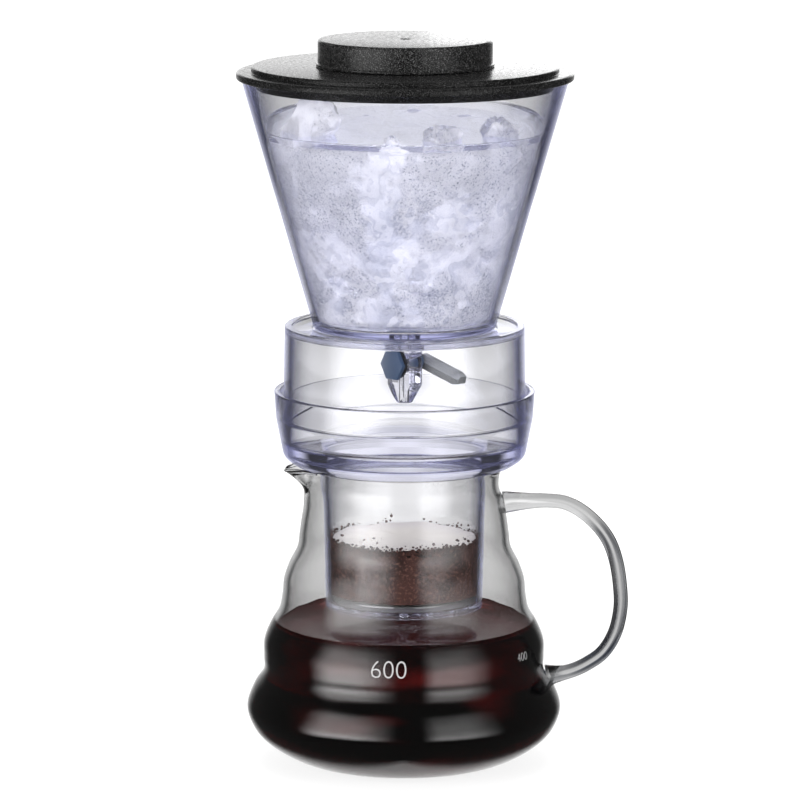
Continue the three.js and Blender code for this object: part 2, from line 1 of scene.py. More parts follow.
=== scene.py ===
"""Looks of an ice-drip cold brew coffee maker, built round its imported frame. Metres, +Z up."""
import json
import math
import random

import bmesh
import bpy
from mathutils import Matrix, Vector, noise


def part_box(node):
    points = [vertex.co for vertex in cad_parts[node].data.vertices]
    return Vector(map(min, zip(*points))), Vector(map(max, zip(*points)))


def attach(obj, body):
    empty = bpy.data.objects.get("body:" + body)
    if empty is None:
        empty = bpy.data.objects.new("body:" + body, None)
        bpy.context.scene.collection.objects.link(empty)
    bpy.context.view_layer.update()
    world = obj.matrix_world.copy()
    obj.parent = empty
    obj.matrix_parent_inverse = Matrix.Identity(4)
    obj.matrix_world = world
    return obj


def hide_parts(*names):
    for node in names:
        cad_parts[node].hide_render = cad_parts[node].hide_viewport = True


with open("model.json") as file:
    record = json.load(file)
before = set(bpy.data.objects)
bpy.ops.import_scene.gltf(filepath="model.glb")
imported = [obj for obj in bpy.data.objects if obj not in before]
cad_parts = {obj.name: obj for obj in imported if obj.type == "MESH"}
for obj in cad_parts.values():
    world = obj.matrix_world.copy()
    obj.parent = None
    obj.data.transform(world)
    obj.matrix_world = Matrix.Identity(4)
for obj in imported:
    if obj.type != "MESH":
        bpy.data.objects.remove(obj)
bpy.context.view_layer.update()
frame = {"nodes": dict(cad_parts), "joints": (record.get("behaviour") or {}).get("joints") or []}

# Steps round a turn, along a rod and round a small edge
WIDE_STEPS = 160
SMALL_STEPS = 64
BORE_STEPS = 48
HOLE_STEPS = 32
DRAIN_STEPS = 20
ROD_STEPS = 96
ROD_SIDES = 32
BEAD_SIDES = 24
EDGE_STEPS = 5
SHARP_ANGLE = math.radians(32)
TINY = 1e-6

# Photograph's camera: in front of the object, looking along +Y and a little down
CAMERA_DISTANCE = 1.9
CAMERA_PITCH = math.radians(9.9)
CAMERA_ROLL = math.radians(0.12)
CAMERA_SIDE = -0.0017
AIM_HEIGHT = 0.1394
FOCAL_LENGTH = 228.6
SENSOR_WIDTH = 36

# Server glass, as in the frame
SERVER_HEIGHT = 0.115
NECK_HEIGHT = 0.107
BASE_RADIUS = 0.028
BULGE_RADIUS = 0.060
NECK_RADIUS = 0.036
RIM_RADIUS = 0.037
GLASS_WALL = 0.002
GLASS_FLOOR = 0.0024
LIP_REACH = 0.0094
LIP_DEPTH = 0.018
LIP_DIP = 0.0026
LIP_HALF_WIDTH = 0.011
LIP_SPREAD = 1.5
LIP_STEPS = 48
BEAD_RADIUS = 0.0007
BEAD_SWELL = 0.0008
BEAD_SUNK = 0.0011
BEAD_RISE = 0.0013
OUTLINE_STEPS = 120
# Share of the way from neck to bulge radius, then share of the neck height
SERVER_WAVE_SHARES = [
    (0.121, 0.013), (0.433, 0.04), (0.729, 0.084), (0.91, 0.132), (1, 0.199), (0.892, 0.271),
    (0.737, 0.327), (0.733, 0.383), (0.725, 0.439), (0.629, 0.495), (0.487, 0.551), (0.437, 0.607),
    (0.408, 0.664), (0.321, 0.719), (0.196, 0.776), (0.162, 0.831), (0.125, 0.888), (0.079, 0.943),
    (0, 1),
]

# Level marks printed on the server
PRINT_HEIGHT = 0.0462
PRINT_DEPTH = 0.00005
PRINT_LIFT = 0.00012

# Handle rod
ROD_RADIUS = 0.00275
HANDLE_REACH = 0.0827
UPPER_ROOT = 0.100
LOWER_ROOT = 0.0323
FOOT_RADIUS = 0.0043
FOOT_LENGTH = 0.005
# Share of the way from the wall to the reach, then share of the height between the roots
HANDLE_ROUTE_SHARES = [
    (0.372, 1.01), (0.57, 0.985), (0.751, 0.902), (0.888, 0.79), (0.962, 0.659), (0.998, 0.504),
    (1, 0.384), (0.93, 0.253), (0.775, 0.143), (0.561, 0.075), (0.306, 0.027),
]

# Gap between pieces that touch, and between a vessel and what it holds
SEAT_GAP = 0.0003
WET_GAP = 0.0002

# Contents, with how far each liquid climbs its wall
COFFEE_CLIMB = 0.0009
WATER_CLIMB = 0.0008
COFFEE_LEVEL = 0.054
WATER_LEVEL = 0.2427
GROUNDS_TOP = 0.0850


def around(radius, angle, height):
    """Point at an angle from +X round the upright axis."""
    return Vector((radius * math.cos(angle), radius * math.sin(angle), height))


def turn_angles(steps):
    return [2 * math.pi * k / steps for k in range(steps)]


def corner_points(before, corner, after, round_size):
    """Points of a rounded corner, as a curve that touches both its edges."""
    start = corner + (before - corner).normalized() * round_size
    end = corner + (after - corner).normalized() * round_size
    points = []
    for i in range(EDGE_STEPS + 1):
        share = i / EDGE_STEPS
        point = start * (1 - share) ** 2 + corner * 2 * share * (1 - share) + end * share ** 2
        points.append((point.x, point.y))
    return points


def rounded(points, closed=True):
    """Profile whose points of (radius, height, round) have their corners rounded."""
    count = len(points)
    profile = []
    for i, point in enumerate(points):
        at_end = not closed and i in (0, count - 1)
        if len(point) == 2 or at_end:
            profile.append((point[0], point[1]))
            continue
        before = Vector(points[i - 1][:2])
        after = Vector(points[(i + 1) % count][:2])
        profile.extend(corner_points(before, Vector(point[:2]), after, point[2]))
    return profile


def shade_smooth(mesh):
    """Smooth shading between sharp edges."""
    mesh.shade_smooth()
    mesh.set_sharp_from_angle(angle=SHARP_ANGLE)


def add_object(name, mesh_data, smooth=True):
    """Object for a finished bmesh."""
    bmesh.ops.recalc_face_normals(mesh_data, faces=mesh_data.faces)
    mesh = bpy.data.meshes.new(name)
    mesh_data.to_mesh(mesh)
    mesh_data.free()
    if smooth:
        shade_smooth(mesh)
    made = bpy.data.objects.new(name, mesh)
    bpy.context.scene.collection.objects.link(made)
    return made


def join_rings(shape, rings, closed=False):
    """Faces between neighbouring rings. A ring of one vertex is a point on the axis."""
    following = rings[1:] + rings[:1] if closed else rings[1:]
    for ring, after in zip(rings, following):
        for k in range(max(len(ring), len(after))):
            corners = [
                ring[k % len(ring)],
                ring[(k + 1) % len(ring)],
                after[(k + 1) % len(after)],
                after[k % len(after)],
            ]
            shape.faces.new(list(dict.fromkeys(corners)))


def spin(name, profile, steps=WIDE_STEPS, closed=False, pull=None):
    """Surface of revolution about +Z of a profile of (radius, height) points."""
    shape = bmesh.new()
    rings = []
    for radius, height in profile:
        places = [around(radius, angle, height) for angle in turn_angles(1 if radius < TINY else steps)]
        rings.append([shape.verts.new(pull(place) if pull else place) for place in places])
    join_rings(shape, rings, closed)
    return add_object(name, shape)


def turned(node, points, steps=WIDE_STEPS, closed=True):
    """Turned piece with rounded corners, named after the CAD node that it stands for."""
    return spin(node + "_fine", rounded(points, closed), steps, closed)


def pin(name, radius, bottom, top, steps=HOLE_STEPS):
    """Cylinder about +Z, to cut a hole with."""
    return spin(name, [(0, bottom), (radius, bottom), (radius, top), (0, top)], steps)


def rod(name, path, radius_at, sides=ROD_SIDES):
    """Round rod along a path of points in the XZ plane."""
    shape = bmesh.new()
    rings = []
    sideways = Vector((0, 1, 0))
    last = len(path) - 1
    for i, middle in enumerate(path):
        along = (path[min(i + 1, last)] - path[max(i - 1, 0)]).normalized()
        across = sideways.cross(along)
        radius = radius_at(i / last)
        ring = []
        for angle in turn_angles(sides):
            out = across * math.cos(angle) + sideways * math.sin(angle)
            ring.append(shape.verts.new(middle + out * radius))
        rings.append(ring)
    join_rings(shape, rings)
    shape.faces.new(rings[0])
    shape.faces.new(rings[-1])
    return add_object(name, shape)


def carve(target, cutter):
    """Cuts one closed mesh out of another and deletes the cutter."""
    cut = target.modifiers.new("cut", "BOOLEAN")
    cut.operation = "DIFFERENCE"
    cut.solver = "EXACT"
    cut.object = cutter
    bake_modifiers(target)
    bpy.data.objects.remove(cutter)


def bake_modifiers(target):
    """Applies all modifiers to the mesh."""
    mesh = solid_copy(target)
    target.modifiers.clear()
    target.data = mesh


def solid_copy(source):
    """Mesh of an object with its modifiers, or its curve, worked in."""
    bpy.context.view_layer.update()
    graph = bpy.context.evaluated_depsgraph_get()
    return bpy.data.meshes.new_from_object(source.evaluated_get(graph))


def spline_point(points, share):
    """Point of a Catmull-Rom spline through 2-D or 3-D points, at a share of its spans."""
    place = share * (len(points) - 1)
    i = min(int(place), len(points) - 2)
    t = place - i
    p0 = points[max(i - 1, 0)]
    p1 = points[i]
    p2 = points[i + 1]
    p3 = points[min(i + 2, len(points) - 1)]
    v0 = (p2 - p0) * 0.5
    v1 = (p3 - p1) * 0.5
    return (2 * p1 - 2 * p2 + v0 + v1) * t ** 3 + (3 * p2 - 3 * p1 - 2 * v0 - v1) * t ** 2 + v0 * t + p1


def server_outline():
    """Outer line of the server, from the base's edge to the rim."""
    spread = BULGE_RADIUS - NECK_RADIUS
    points = [Vector((BASE_RADIUS, 0))]
    for out, up in SERVER_WAVE_SHARES:
        points.append(Vector((NECK_RADIUS + out * spread, up * NECK_HEIGHT)))
    points.append(Vector((RIM_RADIUS, SERVER_HEIGHT)))
    return [spline_point(points, i / OUTLINE_STEPS) for i in range(OUTLINE_STEPS + 1)]


def moved_line(line, offset):
    """The same line moved along its normals, outwards for a positive offset."""
    moved = []
    last = len(line) - 1
    for i, point in enumerate(line):
        along = (line[min(i + 1, last)] - line[max(i - 1, 0)]).normalized()
        moved.append(Vector((point.x + offset * along.y, point.y - offset * along.x)))
    return moved


SERVER_LINE = server_outline()
SERVER_INNER_LINE = moved_line(SERVER_LINE, -GLASS_WALL)


def radius_on(line, height):
    """Radius of a line at a height."""
    for low, high in zip(line, line[1:]):
        if low.y <= height <= high.y:
            share = (height - low.y) / (high.y - low.y)
            return low.x + share * (high.x - low.x)
    return line[-1].x


def pull_lip(place):
    """Draws the rim out towards -X into the pouring lip."""
    radius = math.hypot(place.x, place.y)
    if radius < TINY:
        return place
    facing = max(0, -place.x / radius)
    aside = place.y / LIP_HALF_WIDTH
    rise = min(max((place.z - SERVER_HEIGHT + LIP_DEPTH) / LIP_DEPTH, 0), 1)
    pull = facing * math.exp(-aside * aside) * rise * rise
    return Vector((place.x * (1 + LIP_REACH * pull / radius), place.y, place.z - LIP_DIP * pull))


# Materials

class Tree:
    """A material's or the world's nodes, with one short call for each kind."""

    def __init__(self, owner):
        owner.use_nodes = True
        self.tree = owner.node_tree
        self.tree.nodes.clear()

    def node(self, kind, inputs=None, **settings):
        made = self.tree.nodes.new("ShaderNode" + kind)
        for name, value in settings.items():
            setattr(made, name, value)
        for name, value in (inputs or {}).items():
            if isinstance(value, bpy.types.Node):
                value = value.outputs[0]
            if isinstance(value, bpy.types.NodeSocket):
                self.tree.links.new(value, made.inputs[name])
            else:
                made.inputs[name].default_value = value
        return made

    def math(self, operation, *values):
        return self.node("Math", dict(enumerate(values)), operation=operation).outputs[0]

    def times(self, first, second):
        return self.math("MULTIPLY", first, second)

    def ramp(self, value, low, high, start=0.0, end=1.0):
        """Soft step from start to end while a value goes from low to high."""
        limits = {"Value": value, "From Min": low, "From Max": high, "To Min": start, "To Max": end}
        return self.node("MapRange", limits, interpolation_type="SMOOTHSTEP").outputs[0]

    def pick(self, share, first, second):
        """Number between two numbers."""
        return self.node("Mix", {0: share, 2: first, 3: second}, data_type="FLOAT").outputs[0]

    def blend(self, share, first, second):
        """Colour between two colours."""
        return self.node("Mix", {0: share, 6: first, 7: second}, data_type="RGBA").outputs[2]

    def place(self):
        return self.node("TexCoord").outputs["Object"]

    def axis(self, vector, name):
        return self.node("SeparateXYZ", {"Vector": vector}).outputs[name]

    def facing(self):
        """0 where a face is seen square on, 1 where it is seen edge on."""
        return self.node("LayerWeight", {"Blend": 0.5}).outputs["Facing"]

    def steepness(self):
        """0 on an upright wall, 1 on a level face, whichever way it looks."""
        return self.math("ABSOLUTE", self.axis(self.node("NewGeometry").outputs["Normal"], "Z"))

    def noise(self, scale, detail=3.0, roughness=0.5, stretch=None):
        place = self.place()
        if stretch:
            place = self.node("Mapping", {"Vector": place, "Scale": stretch})
        settings = {"Vector": place, "Scale": scale, "Detail": detail, "Roughness": roughness}
        return self.node("TexNoise", settings).outputs[0]

    def bump(self, height, strength, distance):
        return self.node("Bump", {"Height": height, "Strength": strength, "Distance": distance})

    def mirror_ray(self):
        """1 for a ray that was mirrored on its way, 0 for one that only went through glass."""
        return self.math("GREATER_THAN", self.node("LightPath").outputs["Glossy Depth"], 0.5)

    def mix_shader(self, share, first, second):
        return self.node("MixShader", {0: share, 1: first, 2: second})

    def finish(self, surface, inside=None):
        shaders = {"Surface": surface, "Volume": inside} if inside else {"Surface": surface}
        self.node("OutputMaterial", shaders)


def new_material(name):
    material = bpy.data.materials.new(name)
    return material, Tree(material)


def grey(level):
    return (level, level, level, 1.0)


def colour(red, green, blue):
    return (red, green, blue, 1.0)


WHITE = grey(1.0)


def level_face(tree):
    """1 on floors and the tops of rims, 0 on walls."""
    return tree.ramp(tree.steepness(), 0.75, 0.95)


def edge_on(tree):
    """How far a face is seen edge on."""
    return tree.ramp(tree.facing(), 0.45, 0.98)


def painted_edge_shade(tree):
    """Painted edge shade: a crisp line at a wall's outline with a faint band beside it, level faces left out.
    """
    facing = tree.facing()
    line = tree.math("MAXIMUM", tree.ramp(facing, 0.7, 0.88), tree.ramp(facing, 0.3, 0.7, 0.0, 0.22))
    return tree.times(line, tree.math("SUBTRACT", 1.0, level_face(tree)))


def painted_rod_streaks(tree):
    """Painted shade: dark streaks along a solid glass rod, fainter above, below and near its upper root."""
    facing = tree.facing()
    inner = tree.times(tree.ramp(facing, 0.01, 0.05), tree.ramp(facing, 0.3, 0.5, 1.0, 0.0))
    inner = tree.times(inner, tree.ramp(tree.noise(22, 2.0), 0.32, 0.55, 0.65, 1.0))
    both = tree.math("MAXIMUM", inner, tree.ramp(facing, 0.36, 0.58))
    height = tree.axis(tree.place(), "Z")
    both = tree.times(both, tree.ramp(height, UPPER_ROOT - 0.012, UPPER_ROOT - 0.003, 1.0, 0.25))
    return tree.times(both, tree.ramp(tree.steepness(), 0.2, 0.8, 1.0, 0.4))


def clear_material(
        name, ior, tint, density, passes, edge, waviness, roughness=0.0, painted_shade=painted_edge_shade,
        straight=None, straight_share=0.0, straight_tint=WHITE, sheen=0.0):
    """Glass or clear plastic that takes on its tint with thickness and lets lamps through, with painted shade
    at its outline where an edge colour is given.
    """
    material, tree = new_material(name)
    ripple = tree.noise(60, 2.0, stretch=(1, 1, 0.4))
    # The base colour is painted shade: white, turning to the edge colour at the outline.
    shader = tree.node("BsdfPrincipled", {
        "Base Color": tree.blend(painted_shade(tree), WHITE, edge) if edge else WHITE,
        "Roughness": roughness,
        "IOR": ior,
        "Transmission Weight": 1.0,
        "Normal": tree.bump(ripple, waviness, 0.001),
    })
    if straight:
        plain = tree.node("BsdfTransparent", {"Color": straight_tint})
        shader = tree.mix_shader(tree.times(straight(tree), straight_share), shader, plain)
    if sheen:
        mirror = tree.node("BsdfGlossy", {"Color": colour(0.93, 0.94, 1.0), "Roughness": 0.08})
        grazing = tree.times(level_face(tree), tree.times(edge_on(tree), sheen))
        shader = tree.mix_shader(grazing, shader, mirror)
    passing = tree.node("BsdfTransparent", {"Color": passes})
    surface = tree.mix_shader(tree.node("LightPath").outputs["Is Shadow Ray"], shader, passing)
    inside = tree.node("VolumeAbsorption", {"Color": tint, "Density": density})
    tree.finish(surface, inside)
    return material


def moulded_material(
        name, base, fleck, roughness, grain, grain_depth, specular=0.5, flecks=(0.52, 0.75), upper=None):
    """Opaque moulded plastic or rubber with a fine grain; where an upper colour is given, upward faces get it
    as a painted highlight, in patches.
    """
    material, tree = new_material(name)
    fine = tree.noise(grain, 4.0, 0.65)
    coarse = tree.noise(grain / 4, 2.0)
    shade = tree.blend(tree.ramp(fine, *flecks), base, fleck)
    # Painted highlight: where an upper colour is given, upward faces take it, mottled by the coarse noise.
    if upper:
        up = tree.axis(tree.node("TexCoord").outputs["Normal"], "Z")
        painted_top_highlight = tree.blend(tree.ramp(coarse, 0.4, 0.6), base, upper)
        shade = tree.blend(tree.ramp(up, 0.35, 0.6), shade, painted_top_highlight)
    shader = tree.node("BsdfPrincipled", {
        "Base Color": shade,
        "Roughness": tree.ramp(coarse, 0.3, 0.7, roughness - 0.04, roughness + 0.05),
        "Specular IOR Level": specular,
        "Normal": tree.bump(fine, 0.6, grain_depth),
    })
    tree.finish(shader)
    return material


def metal_material(name, base, roughness):
    """Stainless steel with fine brushed lines."""
    material, tree = new_material(name)
    lines = tree.noise(900, 3.0, stretch=(1, 1, 0.05))
    shader = tree.node("BsdfPrincipled", {
        "Base Color": base,
        "Metallic": 1.0,
        "Roughness": tree.ramp(lines, 0.3, 0.7, roughness - 0.08, roughness + 0.08),
        "Normal": tree.bump(lines, 0.2, 0.0002),
    })
    tree.finish(shader)
    return material


ICE_IOR = 1.31


def ice_material(name, milkiness):
    """Broken ice: pale lavender white with soft clouds, thin cracks and crazed patches; painted light makes
    it paler towards the top, shades its shards greyer or whiter and adds white glints.
    """
    material, tree = new_material(name)
    cloud = tree.noise(48, 5.0, 0.6)
    crazing = tree.ramp(tree.noise(42, 3.0, 0.6), 0.47, 0.56, 0.15, 1.0)
    grain = tree.noise(1200, 4.0, 0.75)
    place = tree.place()
    bend = tree.node("TexNoise", {"Vector": place, "Scale": 70.0, "Detail": 3.0}).outputs["Color"]
    bent = tree.node("VectorMath", {0: place, 1: bend, 2: (0.014,) * 3}, operation="MULTIPLY_ADD")
    crack = tree.node("TexVoronoi", {"Vector": bent, "Scale": 55.0}, feature="DISTANCE_TO_EDGE")
    shard = tree.axis(tree.node("TexVoronoi", {"Vector": bent, "Scale": 75.0}).outputs["Color"], "X")
    near_crack = tree.ramp(crack.outputs["Distance"], 0.0, 0.035, 1.0, 0.0)
    broken = tree.times(near_crack, tree.ramp(tree.noise(60, 2.0), 0.48, 0.6))
    milk = tree.blend(tree.ramp(cloud, 0.36, 0.64), colour(0.67, 0.685, 0.74), colour(0.92, 0.92, 0.94))
    # Painted light: the ice pales to white towards the top.
    milk = tree.blend(tree.ramp(tree.axis(place, "Z"), 0.21, 0.238), milk, WHITE)
    # Painted shade and light: shards made greyer or whiter at random, standing in for facets that catch the
    # light differently.
    milk = tree.blend(tree.ramp(shard, 0.0, 0.45, 0.3, 0.0), milk, colour(0.5, 0.52, 0.58))
    milk = tree.blend(tree.ramp(shard, 0.5, 0.9, 0.0, 0.8), milk, WHITE)
    milk = tree.blend(tree.times(broken, 0.8), milk, WHITE)
    # Crazed patches: dark specks, and white specks that are painted glints.
    specks = tree.blend(tree.ramp(grain, 0.37, 0.45), colour(0.3, 0.315, 0.37), milk)
    specks = tree.blend(tree.ramp(grain, 0.51, 0.57), specks, WHITE)
    milk = tree.blend(tree.times(crazing, 0.85), milk, specks)
    grit = tree.bump(tree.times(grain, tree.ramp(crazing, 0.0, 1.0, 0.1, 1.0)), 0.9, 0.0012)
    relief = tree.node("Bump", {
        "Height": tree.math("ADD", cloud, tree.times(broken, -0.4)),
        "Strength": 0.6, "Distance": 0.002, "Normal": grit,
    })
    milky = tree.node("BsdfPrincipled", {
        "Base Color": milk,
        "Roughness": 0.25,
        "IOR": ICE_IOR,
        "Normal": relief,
    })
    leaking = tree.node("BsdfTranslucent", {"Color": milk, "Normal": relief})
    cloudy = tree.mix_shader(0.5, milky, leaking)
    clear = tree.node("BsdfPrincipled", {
        "Base Color": WHITE,
        "Roughness": 0.05,
        "IOR": ICE_IOR,
        "Transmission Weight": 1.0,
        "Normal": relief,
    })
    share = tree.ramp(tree.noise(75, 3.0), 0.4, 0.6, 2 * milkiness - 1, 1.0)
    body = tree.mix_shader(share, clear, cloudy)
    open_top = tree.node("BsdfTransparent", {"Color": colour(0.95, 0.95, 1.0)})
    body = tree.mix_shader(tree.times(level_face(tree), 0.8), body, open_top)
    passing = tree.node("BsdfTransparent", {"Color": colour(0.85, 0.86, 0.93)})
    for_lamps = tree.node("LightPath").outputs["Is Shadow Ray"]
    surface = tree.mix_shader(tree.times(for_lamps, 0.7), body, passing)
    tree.finish(surface)
    return material


def coffee_material():
    """Brewed coffee: almost black, dark red where light finds a short way through, and red streaks near the
    middle painted as light shining through.
    """
    material, tree = new_material("brewed_coffee")
    shader = tree.node("BsdfPrincipled", {
        "Base Color": WHITE,
        "Roughness": 0.0,
        "IOR": 1.29,
        "Specular Tint": grey(0.3),
        "Transmission Weight": 1.0,
        "Normal": tree.bump(tree.noise(40, 2.0), 0.05, 0.001),
    })
    aside = tree.math("ABSOLUTE", tree.axis(tree.place(), "X"))
    # Painted light: faint red streaks near the middle, standing in for light from behind that shines through
    # the coffee.
    painted_red_streak = tree.ramp(tree.noise(16, 1.0, stretch=(1, 1, 5)), 0.46, 0.62, 0.0, 0.08)
    painted_red_streak = tree.times(painted_red_streak, tree.ramp(aside, 0.018, 0.045, 1.0, 0.0))
    red = tree.node("BsdfDiffuse", {"Color": colour(0.5, 0.03, 0.03)})
    surface = tree.mix_shader(painted_red_streak, shader, red)
    deep = tree.node("BsdfDiffuse", {"Color": colour(0.05, 0.008, 0.008)})
    surface = tree.mix_shader(tree.times(level_face(tree), 0.6), surface, deep)
    inside = tree.node("VolumeAbsorption", {"Color": colour(0.66, 0.05, 0.04), "Density": 150.0})
    tree.finish(surface, inside)
    return material


def grounds_material():
    """Wet ground coffee, dark brown with lighter grains."""
    material, tree = new_material("coffee_grounds")
    fine = tree.noise(900, 5.0, 0.7)
    patch = tree.noise(120, 3.0)
    base = tree.blend(tree.ramp(patch, 0.35, 0.65), colour(0.03, 0.012, 0.009), colour(0.08, 0.034, 0.026))
    shade = tree.blend(tree.ramp(fine, 0.52, 0.62), base, colour(0.2, 0.1, 0.075))
    shader = tree.node("BsdfPrincipled", {
        "Base Color": shade,
        "Roughness": 0.55,
        "Normal": tree.bump(fine, 1.0, 0.0012),
    })
    tree.finish(shader)
    return material


# Edge colours of the clear materials are painted shade at their outlines; the glass rod's edge colour also
# paints its dark streaks.
GLASS_EDGE_SHADE = colour(0.09, 0.095, 0.1)
PLASTIC_EDGE_SHADE = colour(0.58, 0.595, 0.73)
GLASS = clear_material("clear_glass", 1.47, colour(0.5, 0.505, 0.515), 28.0, grey(0.93), GLASS_EDGE_SHADE, 0.06)
GLASS_ROD = clear_material(
    "clear_glass_rod", 1.47, colour(0.5, 0.505, 0.515), 40.0, grey(0.93), colour(0.03, 0.036, 0.05), 0.03,
    painted_shade=painted_rod_streaks)
CLEAR = clear_material(
    "clear_plastic", 1.49, colour(0.55, 0.56, 0.85), 22.0, colour(0.97, 0.97, 1.0), PLASTIC_EDGE_SHADE, 0.05,
    straight=edge_on, straight_share=0.6, straight_tint=colour(0.8, 0.81, 0.9))
WATER = clear_material(
    "ice_water", 1.33, colour(0.88, 0.89, 0.97), 4.0, colour(0.96, 0.96, 0.98), None, 0.08,
    straight=level_face, straight_share=0.75, straight_tint=colour(0.97, 0.97, 1.0), sheen=0.75)
FROSTED = clear_material(
    "frosted_silicone", 1.42, colour(0.8, 0.8, 0.92), 60.0, grey(0.7), grey(0.5), 0.1, roughness=0.35)
BLACK = moulded_material(
    "black_plastic", grey(0.002), grey(0.045), 0.23, 3000, 0.00004, 0.12, flecks=(0.52, 0.64))
BLACK_GRAINED = moulded_material(
    "black_plastic_grained", grey(0.003), grey(0.08), 0.24, 2700, 0.00005, 0.2, flecks=(0.53, 0.63))
BLUE_GREY = moulded_material(
    "blue_grey_plastic", colour(0.036, 0.062, 0.11), colour(0.055, 0.085, 0.14), 0.36, 900, 0.0001)
# The lever's upper colour is a painted highlight on its top faces.
LEVER_GREY = moulded_material(
    "grey_plastic", colour(0.05, 0.055, 0.06), colour(0.085, 0.09, 0.095), 0.2, 500, 0.0001, 0.7,
    upper=colour(0.2, 0.21, 0.215))
RUBBER = moulded_material("black_rubber", grey(0.012), grey(0.03), 0.5, 1500, 0.0001)
PRINT = moulded_material("printed_white", grey(0.26), grey(0.3), 0.45, 1200, 0.00004)
PAPER = moulded_material(
    "filter_paper", colour(0.8, 0.76, 0.68), colour(0.92, 0.88, 0.8), 0.85, 700, 0.0002, 0.2)
STEEL = metal_material("stainless_steel", grey(0.62), 0.3)
ICE = ice_material("ice", 1.0)
CLEARER_ICE = ice_material("clearer_ice", 0.8)
COFFEE = coffee_material()
GROUNDS = grounds_material()


def dress(piece, material, body, slot, *replaced):
    """Gives a piece its material and body, and hides the CAD nodes that it stands for; its record slot is not
    used.
    """
    piece.data.materials.clear()
    piece.data.materials.append(material)
    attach(piece, body)
    if replaced:
        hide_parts(*replaced)


# Server

def make_server():
    inner = [point for point in SERVER_INNER_LINE if GLASS_FLOOR < point.y < SERVER_HEIGHT]
    crown = [
        (RIM_RADIUS, SERVER_HEIGHT - 0.0006),
        (RIM_RADIUS - 0.0004, SERVER_HEIGHT - 0.0001),
        (RIM_RADIUS - GLASS_WALL / 2, SERVER_HEIGHT),
        (RIM_RADIUS - GLASS_WALL + 0.0003, SERVER_HEIGHT - 0.0002),
    ]
    outside = [(point.x, point.y) for point in SERVER_LINE if point.y < SERVER_HEIGHT - 0.0008]
    inside = [(point.x, point.y) for point in reversed(inner) if point.y < SERVER_HEIGHT - 0.001]
    floor = [(BASE_RADIUS, GLASS_FLOOR), (BASE_RADIUS * 0.6, GLASS_FLOOR), (0, GLASS_FLOOR)]
    profile = [(0, 0), (BASE_RADIUS * 0.6, 0), *outside, *crown, *inside, *floor]
    glass = spin("server_glass_fine", profile, 2 * WIDE_STEPS, pull=pull_lip)
    dress(glass, GLASS, "server", "clear_glass", "server_glass")


def make_lip_bead():
    """Thick fire-polished edge of the pouring lip."""
    middle = RIM_RADIUS - GLASS_WALL / 2
    path = []
    for k in range(LIP_STEPS + 1):
        aside = LIP_HALF_WIDTH * LIP_SPREAD * (2 * k / LIP_STEPS - 1)
        raised = BEAD_RISE * math.exp(-(aside / LIP_HALF_WIDTH) ** 2)
        out = -math.sqrt(middle ** 2 - aside ** 2)
        path.append(pull_lip(Vector((out, aside, SERVER_HEIGHT - BEAD_SUNK + raised))))

    def radius_at(share):
        off = LIP_SPREAD * (2 * share - 1)
        return BEAD_RADIUS + BEAD_SWELL * math.exp(-off * off)

    dress(rod("lip_bead", path, radius_at, BEAD_SIDES), GLASS, "server", "clear_glass")


def handle_path():
    upper_wall = radius_on(SERVER_LINE, UPPER_ROOT)
    lower_wall = radius_on(SERVER_LINE, LOWER_ROOT)
    height = UPPER_ROOT - LOWER_ROOT
    points = [Vector((upper_wall - GLASS_WALL / 3, 0, UPPER_ROOT))]
    for out, up in HANDLE_ROUTE_SHARES:
        wall = upper_wall if up > 0.5 else lower_wall
        points.append(Vector((wall + out * (HANDLE_REACH - wall), 0, LOWER_ROOT + up * height)))
    points.append(Vector((lower_wall - GLASS_WALL / 3, 0, LOWER_ROOT)))
    return [spline_point(points, i / ROD_STEPS) for i in range(ROD_STEPS + 1)]


def make_handle():
    path = handle_path()
    length = sum((b - a).length for a, b in zip(path, path[1:]))
    flare = FOOT_RADIUS - ROD_RADIUS

    def radius_at(share):
        from_end = min(share, 1 - share) * length
        return ROD_RADIUS + flare * math.exp(-(from_end / FOOT_LENGTH) ** 2)

    handle = rod("server_handle_fine", path, radius_at)
    dress(handle, GLASS_ROD, "server", "clear_glass", "server_handle")


def liquid_top(edge, level, climb):
    """Profile of a liquid's surface, from its climbing edge to the axis."""
    return [
        (edge, level + climb),
        (edge - climb, level + climb / 4),
        (edge - 3 * climb, level),
        (edge / 2, level),
        (0, level),
    ]


def make_coffee():
    bottom = GLASS_FLOOR - WET_GAP
    wet_line = moved_line(SERVER_LINE, -GLASS_WALL + WET_GAP)
    wall = [(point.x, point.y) for point in wet_line if bottom < point.y < COFFEE_LEVEL]
    top = liquid_top(wall[-1][0], COFFEE_LEVEL, COFFEE_CLIMB)
    coffee = spin("brewed_coffee", [(0, bottom), (BASE_RADIUS, bottom), *wall, *top])
    dress(coffee, COFFEE, "server", "brewed_coffee")


